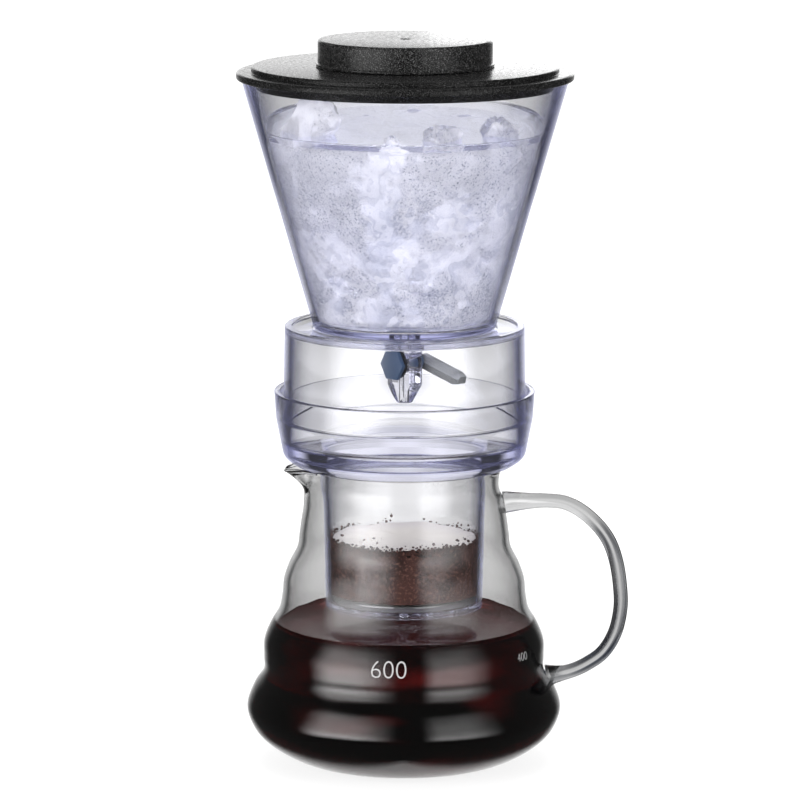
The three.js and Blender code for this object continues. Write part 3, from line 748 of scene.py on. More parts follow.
def wrapped_text(name, body, size, thinning, angle):
    """Raised print on the server's outside, centred at an angle from +X."""
    curve = bpy.data.curves.new(name, "FONT")
    curve.body = body
    curve.size = size
    curve.align_x = "CENTER"
    curve.align_y = "CENTER"
    curve.extrude = PRINT_DEPTH
    curve.offset = -size / thinning
    source = bpy.data.objects.new(name + "_source", curve)
    bpy.context.scene.collection.objects.link(source)
    mesh = solid_copy(source)
    bpy.data.objects.remove(source)
    shape = bmesh.new()
    shape.from_mesh(mesh)
    bmesh.ops.triangulate(shape, faces=shape.faces)
    long_edges = [edge for edge in shape.edges if edge.calc_length() > size / 10]
    bmesh.ops.subdivide_edges(shape, edges=long_edges, cuts=3)
    bmesh.ops.remove_doubles(shape, verts=shape.verts, dist=TINY)
    for vert in shape.verts:
        height = PRINT_HEIGHT + vert.co.y
        radius = radius_on(SERVER_LINE, height) + PRINT_LIFT + vert.co.z
        vert.co = around(radius, angle + vert.co.x / radius, height)
    dress(add_object(name, shape, smooth=False), PRINT, "server", "printed_marks")


# Filter cup and its contents

cup_low, cup_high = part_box("filter_cup")
CUP_UNDERSIDE = SERVER_HEIGHT + SEAT_GAP
CUP_RADIUS = 0.031
CUP_FOOT_RADIUS = 0.0299
CUP_WALL = 0.0019
CUP_FLOOR = 0.0024
BASIN_RADIUS = 0.043
BASIN_FLOOR = 0.0095
LEDGE_RISE = 0.0178
CREASE_RADIUS = 0.0488
SHOULDER_RADIUS = 0.046
SHOULDER_RISE = 0.0032
UNDERSIDE_RADIUS = 0.0414
RIM_WALL = 0.0024
LEDGE_WALL = 0.0468
DRAIN_PITCH = 0.008
DRAIN_RADIUS = 0.0017
DRAIN_RINGS = 2
DRAIN_OVERRUN = 0.001
SEAL_WIDTH = 0.0034
# Shares of the bed's height up its side, then of its radius over its top
BED_SIDE = (0, 0.1, 0.3, 0.5, 0.7, 0.85, 0.95, 1)
BED_TOP = (0.96, 0.88, 0.76, 0.6, 0.42, 0.22)
BED_STEPS = 180
BED_SEED = 11
BED_LUMP = 0.0022
CRUMBS = 1200
CRUMB_SEED = 3
CRUMB_CLIMB = 0.0009
CRUMB_REACH = 0.006
PAPER_MARGIN = 0.0012
PAPER_LIFT = 0.0016
PAPER_THICKNESS = 0.0003
PAPER_SHARES = (0, 0.3, 0.6, 0.85, 1)
PAPER_STEPS = 96


def cup_inner_radius(height):
    share = (CUP_UNDERSIDE - height) / (CUP_UNDERSIDE - cup_low.z)
    return CUP_RADIUS + (CUP_FOOT_RADIUS - CUP_RADIUS) * share - CUP_WALL


def make_filter_cup():
    rim = cup_high.x
    floor_top = cup_low.z + CUP_FLOOR
    basin = CUP_UNDERSIDE + BASIN_FLOOR
    ledge = CUP_UNDERSIDE + LEDGE_RISE
    cup = turned("filter_cup", [
        (0, cup_low.z),
        (CUP_FOOT_RADIUS, cup_low.z, 0.0006),
        (CUP_RADIUS, CUP_UNDERSIDE, 0.0012),
        (UNDERSIDE_RADIUS, CUP_UNDERSIDE, 0.0014),
        (SHOULDER_RADIUS, CUP_UNDERSIDE + SHOULDER_RISE, 0.002),
        (CREASE_RADIUS, ledge, 0.0004),
        (rim, cup_high.z, 0.0006),
        (rim - RIM_WALL, cup_high.z, 0.0006),
        (LEDGE_WALL, ledge, 0.0003),
        (BASIN_RADIUS, ledge, 0.0004),
        (BASIN_RADIUS, basin, 0.0016),
        (cup_inner_radius(basin), basin, 0.0015),
        (cup_inner_radius(floor_top), floor_top, 0.0004),
        (0, floor_top),
    ], closed=False)
    carve(cup, drain_cutter(cup_low.z - DRAIN_OVERRUN, floor_top + DRAIN_OVERRUN))
    dress(cup, CLEAR, "dripper", "clear_plastic", "filter_cup")


def drain_cutter(bottom, top):
    """All the drain holes of the cup's floor as one cutter."""
    shape = bmesh.new()
    middle = (bottom + top) / 2
    places = [Vector((0, 0, middle))]
    for ring in range(1, DRAIN_RINGS + 1):
        places += [around(ring * DRAIN_PITCH, angle, middle) for angle in turn_angles(6 * ring)]
    for place in places:
        bmesh.ops.create_cone(
            shape, cap_ends=True, segments=DRAIN_STEPS, radius1=DRAIN_RADIUS, radius2=DRAIN_RADIUS,
            depth=top - bottom, matrix=Matrix.Translation(place),
        )
    return add_object("drain_cutter", shape)


def make_seal():
    """Silicone ring with a groove that holds the steel disc."""
    low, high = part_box("filter_seal_ring")
    disc_low, disc_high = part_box("filter_disc")
    groove = disc_high.x + SEAT_GAP
    over = disc_high.z + SEAT_GAP
    under = disc_low.z - SEAT_GAP
    inner = high.x - SEAL_WIDTH
    seal = turned("filter_seal_ring", [
        (inner, low.z, 0.0004),
        (high.x, low.z, 0.0006),
        (high.x, high.z, 0.0006),
        (inner, high.z, 0.0004),
        (inner, over),
        (groove, over),
        (groove, under),
        (inner, under),
    ])
    dress(seal, FROSTED, "dripper", "silicone", "filter_seal_ring")


def make_grounds():
    """Bed of ground coffee with a lumpy top, filling the cup above the seal."""
    rng = random.Random(BED_SEED)
    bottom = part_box("filter_seal_ring")[1].z + WET_GAP
    heights = [bottom + (GROUNDS_TOP - bottom) * share for share in BED_SIDE]
    outline = [(cup_inner_radius(height) - WET_GAP, height) for height in heights]
    outline += [((cup_inner_radius(GROUNDS_TOP) - WET_GAP) * share, GROUNDS_TOP) for share in BED_TOP]
    rim = len(BED_SIDE) - 1
    shape = bmesh.new()
    rings = []
    for i, (radius, height) in enumerate(outline):
        ring = []
        for angle in turn_angles(BED_STEPS):
            lumps = BED_LUMP * noise.noise(around(1, angle, 0) * 11)
            lift = 0.0
            if i in (rim, rim + 1):
                lift = lumps + rng.uniform(-0.0008, 0.0012)
            elif i > rim:
                lift = lumps / 2 - rng.uniform(0.0, 0.0008)
            squeeze = rng.uniform(0, 0.00035) if 0 < i <= rim else 0.0
            ring.append(shape.verts.new(around(radius - squeeze, angle, height + lift)))
        rings.append(ring)
    top_middle = [shape.verts.new((0, 0, GROUNDS_TOP))]
    low_middle = [shape.verts.new((0, 0, bottom))]
    join_rings(shape, [low_middle, *rings, top_middle])
    dress(add_object("coffee_grounds", shape), GROUNDS, "dripper", "coffee_grounds")


def make_crumbs():
    """Loose grains of coffee on the bed's edge and on the cup's wall above it."""
    rng = random.Random(CRUMB_SEED)
    shape = bmesh.new()
    for _ in range(CRUMBS):
        height = GROUNDS_TOP + min(rng.expovariate(1 / CRUMB_CLIMB), CRUMB_REACH) + 0.0003
        size = rng.uniform(0.0002, 0.0007)
        reach = cup_inner_radius(height) - size - 0.00005
        angle = rng.triangular(-math.tau * 3 / 4, math.tau / 4)
        place = Matrix.Translation(around(reach, angle, height))
        turn = Matrix.Rotation(rng.uniform(0, math.tau), 4, "X")
        turn = turn @ Matrix.Rotation(rng.uniform(0, math.tau), 4, "Z")
        squash = Matrix.Diagonal((1.0, rng.uniform(0.6, 1.0), rng.uniform(0.6, 1.0), 1.0))
        bmesh.ops.create_icosphere(shape, subdivisions=1, radius=size, matrix=place @ turn @ squash)
    dress(add_object("coffee_crumbs", shape, smooth=False), GROUNDS, "dripper", "coffee_grounds")


def make_paper_disc():
    """Thin paper disc on top of the grounds, wavy where it lies on them."""
    outer = cup_inner_radius(GROUNDS_TOP) - PAPER_MARGIN
    sides = [(share, 0) for share in PAPER_SHARES]
    sides += [(share, PAPER_THICKNESS) for share in reversed(PAPER_SHARES)]
    shape = bmesh.new()
    rings = []
    for share, rise in sides:
        ring = []
        for angle in turn_angles(PAPER_STEPS if share else 1):
            wave = 0.0003 * math.sin(5 * angle + 1.3) * share + 0.0002 * math.sin(11 * angle) * share
            height = GROUNDS_TOP + PAPER_LIFT + wave + rise
            ring.append(shape.verts.new(around(outer * share, angle, height)))
        rings.append(ring)
    join_rings(shape, rings)
    dress(add_object("paper_disc", shape), PAPER, "dripper", "coffee_grounds")


# Drip ring

def make_drip_ring():
    low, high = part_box("drip_ring")
    wall = 0.0029
    top_outer = 0.0455
    top_inner = top_outer - wall
    plate = high.z - 0.0008
    seat = plate - 0.0007
    under = seat - 0.0012
    seat_radius = 0.0351
    passage = 0.029
    ring = turned("drip_ring", [
        (high.x - wall, low.z, 0.0004),
        (high.x, low.z, 0.0004),
        (top_outer, high.z, 0.0007),
        (top_inner, high.z, 0.0004),
        (top_inner, plate, 0.0003),
        (seat_radius, plate, 0.0002),
        (seat_radius, seat, 0.0002),
        (passage, seat, 0.0004),
        (passage, under, 0.0004),
        (top_inner, under, 0.0006),
    ])
    dress(ring, CLEAR, "ring", "clear_plastic", "drip_ring")


# Ice tank and its contents

tank_low, tank_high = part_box("ice_tank")
# Packed ice: size of a piece, depth of creases and grit, gap to the wall, rounding at both ends
ICE_PIECE = 0.017
ICE_DENT = 0.0045
ICE_GRIT = 0.0006
ICE_MARGIN = 0.0011
ICE_SHOULDER = 0.0035
ICE_FOOT = 0.003
ICE_TOP_MARGIN = 0.0046
ICE_TOP_SHARES = (0.93, 0.85, 0.76, 0.67, 0.58, 0.49, 0.4, 0.31, 0.22, 0.12)
ICE_ROWS = 90
ICE_STEPS = 240
CHUNK_POINTS = 16
ICE_SEED = 5
# Degrees from the front towards the handle, height, distance of the middle from the wall and size
ICE_PLACES = [
    (-58, 0.2440, 0.0145, 0.0115), (-8, 0.2405, 0.0120, 0.0065), (21, 0.2420, 0.0130, 0.0095),
    (57, 0.2375, 0.0125, 0.0120), (-30, 0.2330, 0.0110, 0.0085), (36, 0.2290, 0.0120, 0.0090),
    (150, 0.2310, 0.0150, 0.0110), (-140, 0.2310, 0.0150, 0.0110), (96, 0.2300, 0.0140, 0.0110),
    (-42, 0.2150, 0.0105, 0.0090), (48, 0.2020, 0.0100, 0.0090), (-15, 0.2100, 0.0110, 0.0085),
    (12, 0.1900, 0.0100, 0.0090), (-40, 0.1880, 0.0095, 0.0085), (110, 0.2080, 0.0110, 0.0100),
    (-120, 0.2100, 0.0110, 0.0100), (175, 0.2150, 0.0110, 0.0100), (-5, 0.1800, 0.0090, 0.0070),
]
TANK_BOTTOM_RADIUS = 0.0344
TANK_WALL = 0.0022
TANK_FLOOR = 0.003
FLOOR_CORNER = 0.0018
STUB_HOLE = 0.004
# Room that the water leaves for the lock nut
NUT_ROOM_RISE = 0.0075
NUT_ROOM_TOP = 0.0068
NUT_ROOM_FOOT = 0.0078
TANK_LEAN = (tank_high.x - TANK_BOTTOM_RADIUS) / (tank_high.z - tank_low.z)
TANK_WALL_ACROSS = TANK_WALL * math.hypot(1, TANK_LEAN)


def tank_inner_radius(height):
    return TANK_BOTTOM_RADIUS + TANK_LEAN * (height - tank_low.z) - TANK_WALL_ACROSS


def make_tank():
    floor_top = tank_low.z + TANK_FLOOR
    tank = turned("ice_tank", [
        (STUB_HOLE, tank_low.z, 0.0002),
        (TANK_BOTTOM_RADIUS, tank_low.z, FLOOR_CORNER),
        (tank_high.x, tank_high.z, 0.0006),
        (tank_high.x - TANK_WALL_ACROSS, tank_high.z, 0.0005),
        (tank_inner_radius(floor_top), floor_top, FLOOR_CORNER),
        (STUB_HOLE, floor_top, 0.0002),
    ])
    dress(tank, CLEAR, "tank", "clear_plastic", "ice_tank")


def make_water():
    bottom = tank_low.z + TANK_FLOOR + WET_GAP
    corner = bottom + FLOOR_CORNER
    water = spin("ice_water", [
        (0, bottom + NUT_ROOM_RISE),
        (NUT_ROOM_TOP, bottom + NUT_ROOM_RISE),
        (NUT_ROOM_FOOT, bottom),
        (tank_inner_radius(bottom) - FLOOR_CORNER, bottom),
        (tank_inner_radius(corner) - WET_GAP, corner),
        *liquid_top(tank_inner_radius(WATER_LEVEL) - WET_GAP, WATER_LEVEL, WATER_CLIMB),
    ])
    dress(water, WATER, "tank", "ice_and_water")


def lump(place):
    """How far a point of the packed ice stands back, from 0 on a piece's middle to 1 in a crease."""
    near = noise.voronoi(place / ICE_PIECE)[0][0]
    return min(near, 1.0) ** 1.5


def make_packed_ice():
    """Broken ice frozen together: a lumpy mass that follows the tank's wall."""
    shape = bmesh.new()
    bottom = tank_low.z + TANK_FLOOR + 0.0012
    top = WATER_LEVEL - 0.0022
    rings = [[shape.verts.new((0, 0, bottom))]]
    for i in range(ICE_ROWS + 1):
        height = bottom + (top - bottom) * i / ICE_ROWS
        shoulder = ICE_SHOULDER * (max(0.0, (i / ICE_ROWS - 0.93) / 0.07)) ** 2
        foot = ICE_FOOT * (max(0.0, (0.04 - i / ICE_ROWS) / 0.04)) ** 2
        radius = tank_inner_radius(height) - ICE_MARGIN - shoulder - foot
        ring = []
        for angle in turn_angles(ICE_STEPS):
            place = around(radius, angle, height)
            depth = ICE_DENT * lump(place) + ICE_GRIT * noise.noise(place * 260)
            ring.append(shape.verts.new(around(radius - max(depth, 0.0), angle, height)))
        rings.append(ring)
    edge = tank_inner_radius(top) - ICE_TOP_MARGIN
    for share in ICE_TOP_SHARES:
        ring = []
        for angle in turn_angles(ICE_STEPS):
            place = around(edge * share, angle, top)
            ring.append(shape.verts.new(place + Vector((0, 0, 0.003 - 0.009 * lump(place)))))
        rings.append(ring)
    rings.append([shape.verts.new((0, 0, top))])
    join_rings(shape, rings)
    dress(add_object("packed_ice", shape), ICE, "tank", "ice_and_water")


def add_chunk(shape, rng, middle, size):
    """One broken piece of ice: the hull of random points on a squashed ball, with edges rounded by wear."""
    stretch = Vector((rng.uniform(0.85, 1.2), rng.uniform(0.7, 1.0), rng.uniform(0.7, 1.0)))
    angle = rng.uniform(0, math.tau)
    pivot = Vector((rng.random(), rng.random(), rng.random())).normalized()
    turn = Matrix.Rotation(angle, 3, pivot)
    piece = bmesh.new()
    for _ in range(CHUNK_POINTS):
        direction = Vector((rng.gauss(0, 1), rng.gauss(0, 1), rng.gauss(0, 1))).normalized()
        place = Vector((direction.x * stretch.x, direction.y * stretch.y, direction.z * stretch.z)) * size
        piece.verts.new(turn @ place + middle)
    hull = bmesh.ops.convex_hull(piece, input=piece.verts)
    spare = [v for v in hull["geom_interior"] + hull["geom_unused"] if isinstance(v, bmesh.types.BMVert)]
    bmesh.ops.delete(piece, geom=spare, context="VERTS")
    bmesh.ops.bevel(piece, geom=list(piece.edges), offset=size * 0.04, segments=1, affect="EDGES")
    bmesh.ops.triangulate(piece, faces=piece.faces)
    bmesh.ops.subdivide_edges(piece, edges=piece.edges, cuts=2, use_grid_fill=True)
    for vert in piece.verts:
        vert.co += (vert.co - middle) * 0.35 * noise.noise(vert.co * 240)
    part = bpy.data.meshes.new("chunk")
    piece.to_mesh(part)
    piece.free()
    shape.from_mesh(part)
    bpy.data.meshes.remove(part)


def make_loose_ice():
    """Pieces that stand out of the water or press against the wall."""
    rng = random.Random(ICE_SEED)
    shape = bmesh.new()
    for azimuth, height, inward, size in ICE_PLACES:
        reach = tank_inner_radius(height) - inward
        add_chunk(shape, rng, around(reach, math.radians(azimuth - 90), height), size)
    dress(add_object("loose_ice", shape), CLEARER_ICE, "tank", "ice_and_water")


# Drip valve. Its plug's pieces are made about +Z, which then lies along the plug's axis

PLUG_TURN = math.radians(45)
LEVER_TILT = math.radians(14)
valve_low, valve_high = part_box("valve_body")
PLUG_HEIGHT = next(joint["pos_m"][2] for joint in frame["joints"] if joint["name"] == "valve_turn")
COLUMN_RADIUS = 0.00665
COLUMN_NECK = 0.005
FLANGE_RADIUS = 0.0072
STUB_RADIUS = 0.0037
NOZZLE_RADIUS = 0.0029
BORE_RADIUS = 0.0036
BORE_HALF = 0.009
# Distances of the column's two flats along the plug's axis
FLATS = (0.005, -0.0033)
PLUG_RADIUS = 0.0033
GROOVE_RADIUS = 0.0023
HUB_RADIUS = 0.0029
LEVER_STEM = 0.0013
NUT_STEM = 0.0017
NUT_HOLE = 0.002
WASHER_RADIUS = 0.0052
ALONG_PLUG = Matrix.Rotation(math.pi / 2, 4, "Y")


def to_plug(piece, lay=ALONG_PLUG, tilt=LEVER_TILT):
    """Lays a piece along the plug's axis and turns it with the lever."""
    tip = Matrix.Rotation(tilt, 4, "X")
    swing = Matrix.Rotation(PLUG_TURN, 4, "Z")
    lift = Matrix.Translation((0, 0, PLUG_HEIGHT))
    piece.data.transform(lift @ swing @ tip @ lay)
    return piece


def make_valve_body():
    column_foot = 0.1465
    column_top = 0.160
    flange_under = 0.1626
    flange_top = 0.1653
    channel = 0.0012
    body = turned("valve_body", [
        (channel, valve_low.z),
        (NOZZLE_RADIUS, valve_low.z, 0.0003),
        (COLUMN_RADIUS, column_foot, 0.0006),
        (COLUMN_RADIUS, column_top, 0.0006),
        (COLUMN_NECK, column_top, 0.0004),
        (COLUMN_NECK, flange_under, 0.0004),
        (FLANGE_RADIUS, flange_under, 0.0003),
        (FLANGE_RADIUS, flange_top, 0.0003),
        (STUB_RADIUS, flange_top, 0.0002),
        (STUB_RADIUS, valve_high.z, 0.0003),
        (channel, valve_high.z),
    ], SMALL_STEPS)
    carve(body, to_plug(pin("bore_cutter", BORE_RADIUS, -BORE_HALF, BORE_HALF, BORE_STEPS)))
    for flat in FLATS:
        carve(body, flat_cutter(flat, column_top))
    shade_smooth(body.data)
    dress(body, CLEAR, "tank", "clear_plastic", "valve_body")


def flat_cutter(flat, top):
    """Block beyond one flat of the valve's column, at a distance along the plug's axis."""
    shape = bmesh.new()
    width = 0.008
    height = 0.0195
    size = Matrix.Diagonal((width, 0.02, height, 1))
    place = Matrix.Translation((flat + math.copysign(width / 2, flat), 0, top - height / 2))
    bmesh.ops.create_cube(shape, size=1.0, matrix=place @ size)
    cutter = add_object("flat_cutter", shape)
    cutter.data.transform(Matrix.Rotation(PLUG_TURN, 4, "Z"))
    return cutter


def make_plug():
    plug = turned("valve_plug", [
        (0, -0.0063),
        (NUT_STEM, -0.0063, 0.0002),
        (NUT_STEM, -0.003),
        (PLUG_RADIUS, -0.003, 0.0002),
        (PLUG_RADIUS, -0.0027),
        (GROOVE_RADIUS, -0.0027),
        (GROOVE_RADIUS, -0.0014),
        (PLUG_RADIUS, -0.0014),
        (PLUG_RADIUS, 0.00245),
        (GROOVE_RADIUS, 0.00245),
        (GROOVE_RADIUS, 0.00375),
        (PLUG_RADIUS, 0.00375),
        (PLUG_RADIUS, 0.0047, 0.0003),
        (HUB_RADIUS, 0.0047),
        (HUB_RADIUS, 0.0075, 0.0002),
        (LEVER_STEM, 0.0075),
        (LEVER_STEM, 0.0108, 0.0002),
        (0, 0.0108),
    ], SMALL_STEPS, closed=False)
    dress(to_plug(plug), BLUE_GREY, "valve", "blue_grey_plastic", "valve_plug")


def make_plug_washer():
    washer = turned("plug_washer", [
        (NUT_HOLE, -0.0051),
        (WASHER_RADIUS, -0.0051, 0.0003),
        (WASHER_RADIUS, -0.0036, 0.0003),
        (NUT_HOLE, -0.0036),
    ], SMALL_STEPS)
    dress(to_plug(washer), RUBBER, "valve", "black_rubber", "plug_washer")


def bevelled(piece, width):
    """Rounds the sharp edges of a piece."""
    edge = piece.modifiers.new("edge", "BEVEL")
    edge.width = width
    edge.segments = 3
    edge.limit_method = "ANGLE"
    edge.angle_limit = math.radians(25)
    bake_modifiers(piece)
    shade_smooth(piece.data)
    return piece


def prism(name, outline, bottom, top):
    """Upright prism of an outline of (x, y) points."""
    shape = bmesh.new()
    low, high = [[shape.verts.new((x, y, height)) for x, y in outline] for height in (bottom, top)]
    join_rings(shape, [low, high])
    shape.faces.new(low)
    shape.faces.new(high)
    return add_object(name, shape)


def make_cap_nut():
    corner = 0.0103 / 2 / math.cos(math.pi / 6)
    hexagon = [around(corner, math.pi / 2 + math.pi * k / 3, 0).xy for k in range(6)]
    nut = bevelled(prism("plug_cap_nut_fine", hexagon, -0.0072, -0.0054), 0.0003)
    carve(nut, pin("nut_cutter", NUT_HOLE, -0.0066, -0.005))
    shade_smooth(nut.data)
    dress(to_plug(nut, tilt=0.0), BLUE_GREY, "valve", "blue_grey_plastic", "plug_cap_nut")


def make_lever():
    """Grey lever with a chamfered tip, a sloping upper face and fine grooves along it."""
    length = 0.021
    half = 0.00215
    tip_half = 0.0013
    chamfer = 0.0024
    start = 0.0078
    width = 0.0045
    slope = 0.0019
    shoulder = length - chamfer
    crease = half - slope
    outline = [(0, -half), (shoulder, -half), (length, -tip_half), (length, tip_half)]
    outline += [(shoulder, half), (0, half)]
    outline += [(-half * math.sin(math.pi * k / 12), half * math.cos(math.pi * k / 12)) for k in range(1, 12)]
    places = [(x, y, width) for x, y in outline]
    places += [(x, y, max(0.0, y - half + slope)) for x, y in outline]
    places += [(length, crease, 0), (-math.sqrt(half ** 2 - crease ** 2), crease, 0)]
    shape = bmesh.new()
    bmesh.ops.convex_hull(shape, input=[shape.verts.new(place) for place in places])
    bmesh.ops.dissolve_limit(shape, angle_limit=math.radians(1), verts=shape.verts, edges=shape.edges)
    bar = add_object("valve_lever_fine", shape)
    carve(bar, pin("socket_cutter", 0.0016, -0.001, 0.0035))
    bevelled(bar, 0.0003)
    turn = Matrix.Rotation(math.pi / 4, 4, "X")
    stretch = Matrix.Diagonal((length - 2 * chamfer, 0.0004, 0.0004, 1))
    for up, inward in ((half - 0.0006, 0.0013), (half - 0.0013, 0.0006), (half, 0.0027), (half, 0.0036)):
        groove = bmesh.new()
        place = Matrix.Translation((length / 2, up, inward)) @ turn
        bmesh.ops.create_cube(groove, size=1.0, matrix=place @ stretch)
        carve(bar, add_object("groove_cutter", groove))
    shade_smooth(bar.data)
    lay = Matrix(((0, 0, 1, start), (-1, 0, 0, 0), (0, 1, 0, 0), (0, 0, 0, 1)))
    dress(to_plug(bar, lay), LEVER_GREY, "valve", "grey_plastic", "valve_lever")


def finish_node(node, material):
    """Gives a CAD node that stays its own procedural material."""
    kept = frame["nodes"][node]
    kept.data.materials.clear()
    kept.data.materials.append(material)


# Lid

SCREW_HOLE = 0.0017
SKIRT_GAP = 0.0007
SKIRT_WALL = 0.0016
ROLL_WIDTH = 0.0013
ROLL_DROP = 0.0009
KNOB_WALL = 0.0022
BOSS_RADIUS = 0.0045
BOSS_DEPTH = 0.0059
GATE_DEPTH = 0.0003


def make_lid():
    low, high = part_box("lid_plate")
    flange_under = tank_high.z + SEAT_GAP
    flange_top = flange_under + 0.0019
    under = flange_under + 0.0017
    plate_radius = 0.0579
    skirt_outer = tank_inner_radius(low.z) - SKIRT_GAP
    skirt_inner = skirt_outer - SKIRT_WALL
    roll_inner = high.x - ROLL_WIDTH
    roll_low = flange_under - ROLL_DROP
    plate = turned("lid_plate", [
        (SCREW_HOLE, under),
        (skirt_inner, under, 0.0008),
        (skirt_inner, low.z, 0.0004),
        (skirt_outer, low.z, 0.0004),
        (skirt_outer, flange_under, 0.0003),
        (roll_inner, flange_under, 0.0003),
        (roll_inner, roll_low, 0.0003),
        (high.x, roll_low, 0.0009),
        (high.x, flange_top, 0.0011),
        (plate_radius, flange_top, 0.0005),
        (plate_radius, high.z, 0.0008),
        (SCREW_HOLE, high.z),
    ])
    dress(plate, BLACK, "lid", "black_plastic", "lid_plate")


def make_knob():
    """Knob with a hollow underside, a screw boss and a shallow gate mark on its top."""
    low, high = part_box("lid_knob")
    radius = 0.0329
    foot = 0.0009
    gate = 0.0022
    ceiling = high.z - KNOB_WALL
    knob = turned("lid_knob", [
        (0, low.z + BOSS_DEPTH),
        (SCREW_HOLE, low.z + BOSS_DEPTH),
        (SCREW_HOLE, low.z),
        (BOSS_RADIUS, low.z, 0.0003),
        (BOSS_RADIUS, ceiling, 0.0003),
        (radius - KNOB_WALL, ceiling, 0.0006),
        (radius - KNOB_WALL, low.z, 0.0003),
        (high.x, low.z, 0.0003),
        (high.x, low.z + foot, 0.0003),
        (radius, low.z + foot, 0.0004),
        (radius, high.z, 0.0011),
        (gate, high.z, 0.0002),
        (gate * 0.6, high.z - GATE_DEPTH, 0.0002),
        (0, high.z - GATE_DEPTH),
    ], closed=False)
    dress(knob, BLACK_GRAINED, "lid", "black_plastic", "lid_knob")


# Stage, light and camera

FLOOR_RADIUS = 12.0
FLOOR_DROP = 0.0002
# Share of the lamps' light that the floor shows, seen straight on and through clear pieces
LIT_LEVEL = 0.2
LIT_THROUGH = 0.06
# Level of the backdrop through clear pieces, straight behind and to the sides, and the degrees between
THROUGH_LEVEL = 0.85
THROUGH_ASIDE = 0.1
THROUGH_FADE = (4, 45)
AXIS_FADE = (0.5, 4)
AXIS_SHARE = 0.65
# Metres behind the object between which the backdrop's level through clear pieces changes
FAR_FADE = (1.0, 1.5)
FAR_GAIN = 1.3
NEAR_FADE = (0.5, 0.75)
NEAR_GAIN = 1.2


def radians(pair):
    return [math.radians(angle) for angle in pair]


def make_floor():
    shape = bmesh.new()
    bmesh.ops.create_circle(shape, cap_ends=True, segments=96, radius=FLOOR_RADIUS)
    floor = add_object("floor", shape, smooth=False)
    floor.location.z = -FLOOR_DROP
    material, tree = new_material("floor")
    rays = tree.node("LightPath").outputs
    seen = tree.math("MAXIMUM", rays["Is Camera Ray"], rays["Is Transmission Ray"])
    lit_level = tree.pick(rays["Is Transmission Ray"], LIT_LEVEL, LIT_THROUGH)
    lit = tree.node("BsdfDiffuse", {"Color": tree.node("CombineColor", {
        "Red": lit_level, "Green": lit_level, "Blue": lit_level}).outputs["Color"]})
    place = tree.place()
    from_part = tree.node("VectorMath", {"Vector": place}, operation="LENGTH").outputs["Value"]
    strength = tree.ramp(from_part, 0.15, 0.6, 0.82, 1.0)
    axes = tree.node("SeparateXYZ", {"Vector": place}).outputs
    depth = tree.math("ADD", tree.math("ABSOLUTE", axes["Y"]), 0.15)
    off_axis = tree.math("ARCTAN2", tree.math("ABSOLUTE", axes["X"]), depth)
    through = tree.ramp(off_axis, *radians(THROUGH_FADE), THROUGH_LEVEL, THROUGH_ASIDE)
    near_axis = tree.ramp(off_axis, *radians(AXIS_FADE), 1.0, AXIS_SHARE)
    through = tree.times(through, near_axis)
    through = tree.times(through, tree.ramp(axes["Y"], *NEAR_FADE, NEAR_GAIN, 1.0))
    through = tree.times(through, tree.ramp(axes["Y"], *FAR_FADE, 1.0, FAR_GAIN))
    strength = tree.pick(rays["Is Transmission Ray"], strength, tree.times(strength, through))
    glow = tree.node("Emission", {"Color": WHITE, "Strength": strength})
    shown = tree.node("AddShader", {0: lit, 1: glow})
    plain = tree.node("BsdfDiffuse", {"Color": grey(0.8)})
    surface = tree.mix_shader(seen, plain, shown)
    tree.finish(tree.mix_shader(tree.mirror_ray(), surface, tree.node("BsdfTransparent")))
    floor.data.materials.append(material)


# Degrees from the front between which a softbox fades in and out again
LEFT_BOX_FADES = (-86, -60, -44, -3)
RIGHT_BOX_FADES = (13, 30, 44, 82)
RIGHT_BOX_SHARE = 0.55
# Sines of the heights between which both boxes fade in and out again
BOX_HEIGHTS = (-0.42, -0.24, 0.4, 0.75)
LOW_BOX_LEVEL = 4.0
HIGH_BOX_LEVEL = 2.0
ASIDE_LEVEL = 0.3
AROUND_LEVEL = 0.06
BEHIND_FADE = (145, 175)
ASIDE_FADE = (60, 125)
FILL_LEVEL = 0.65


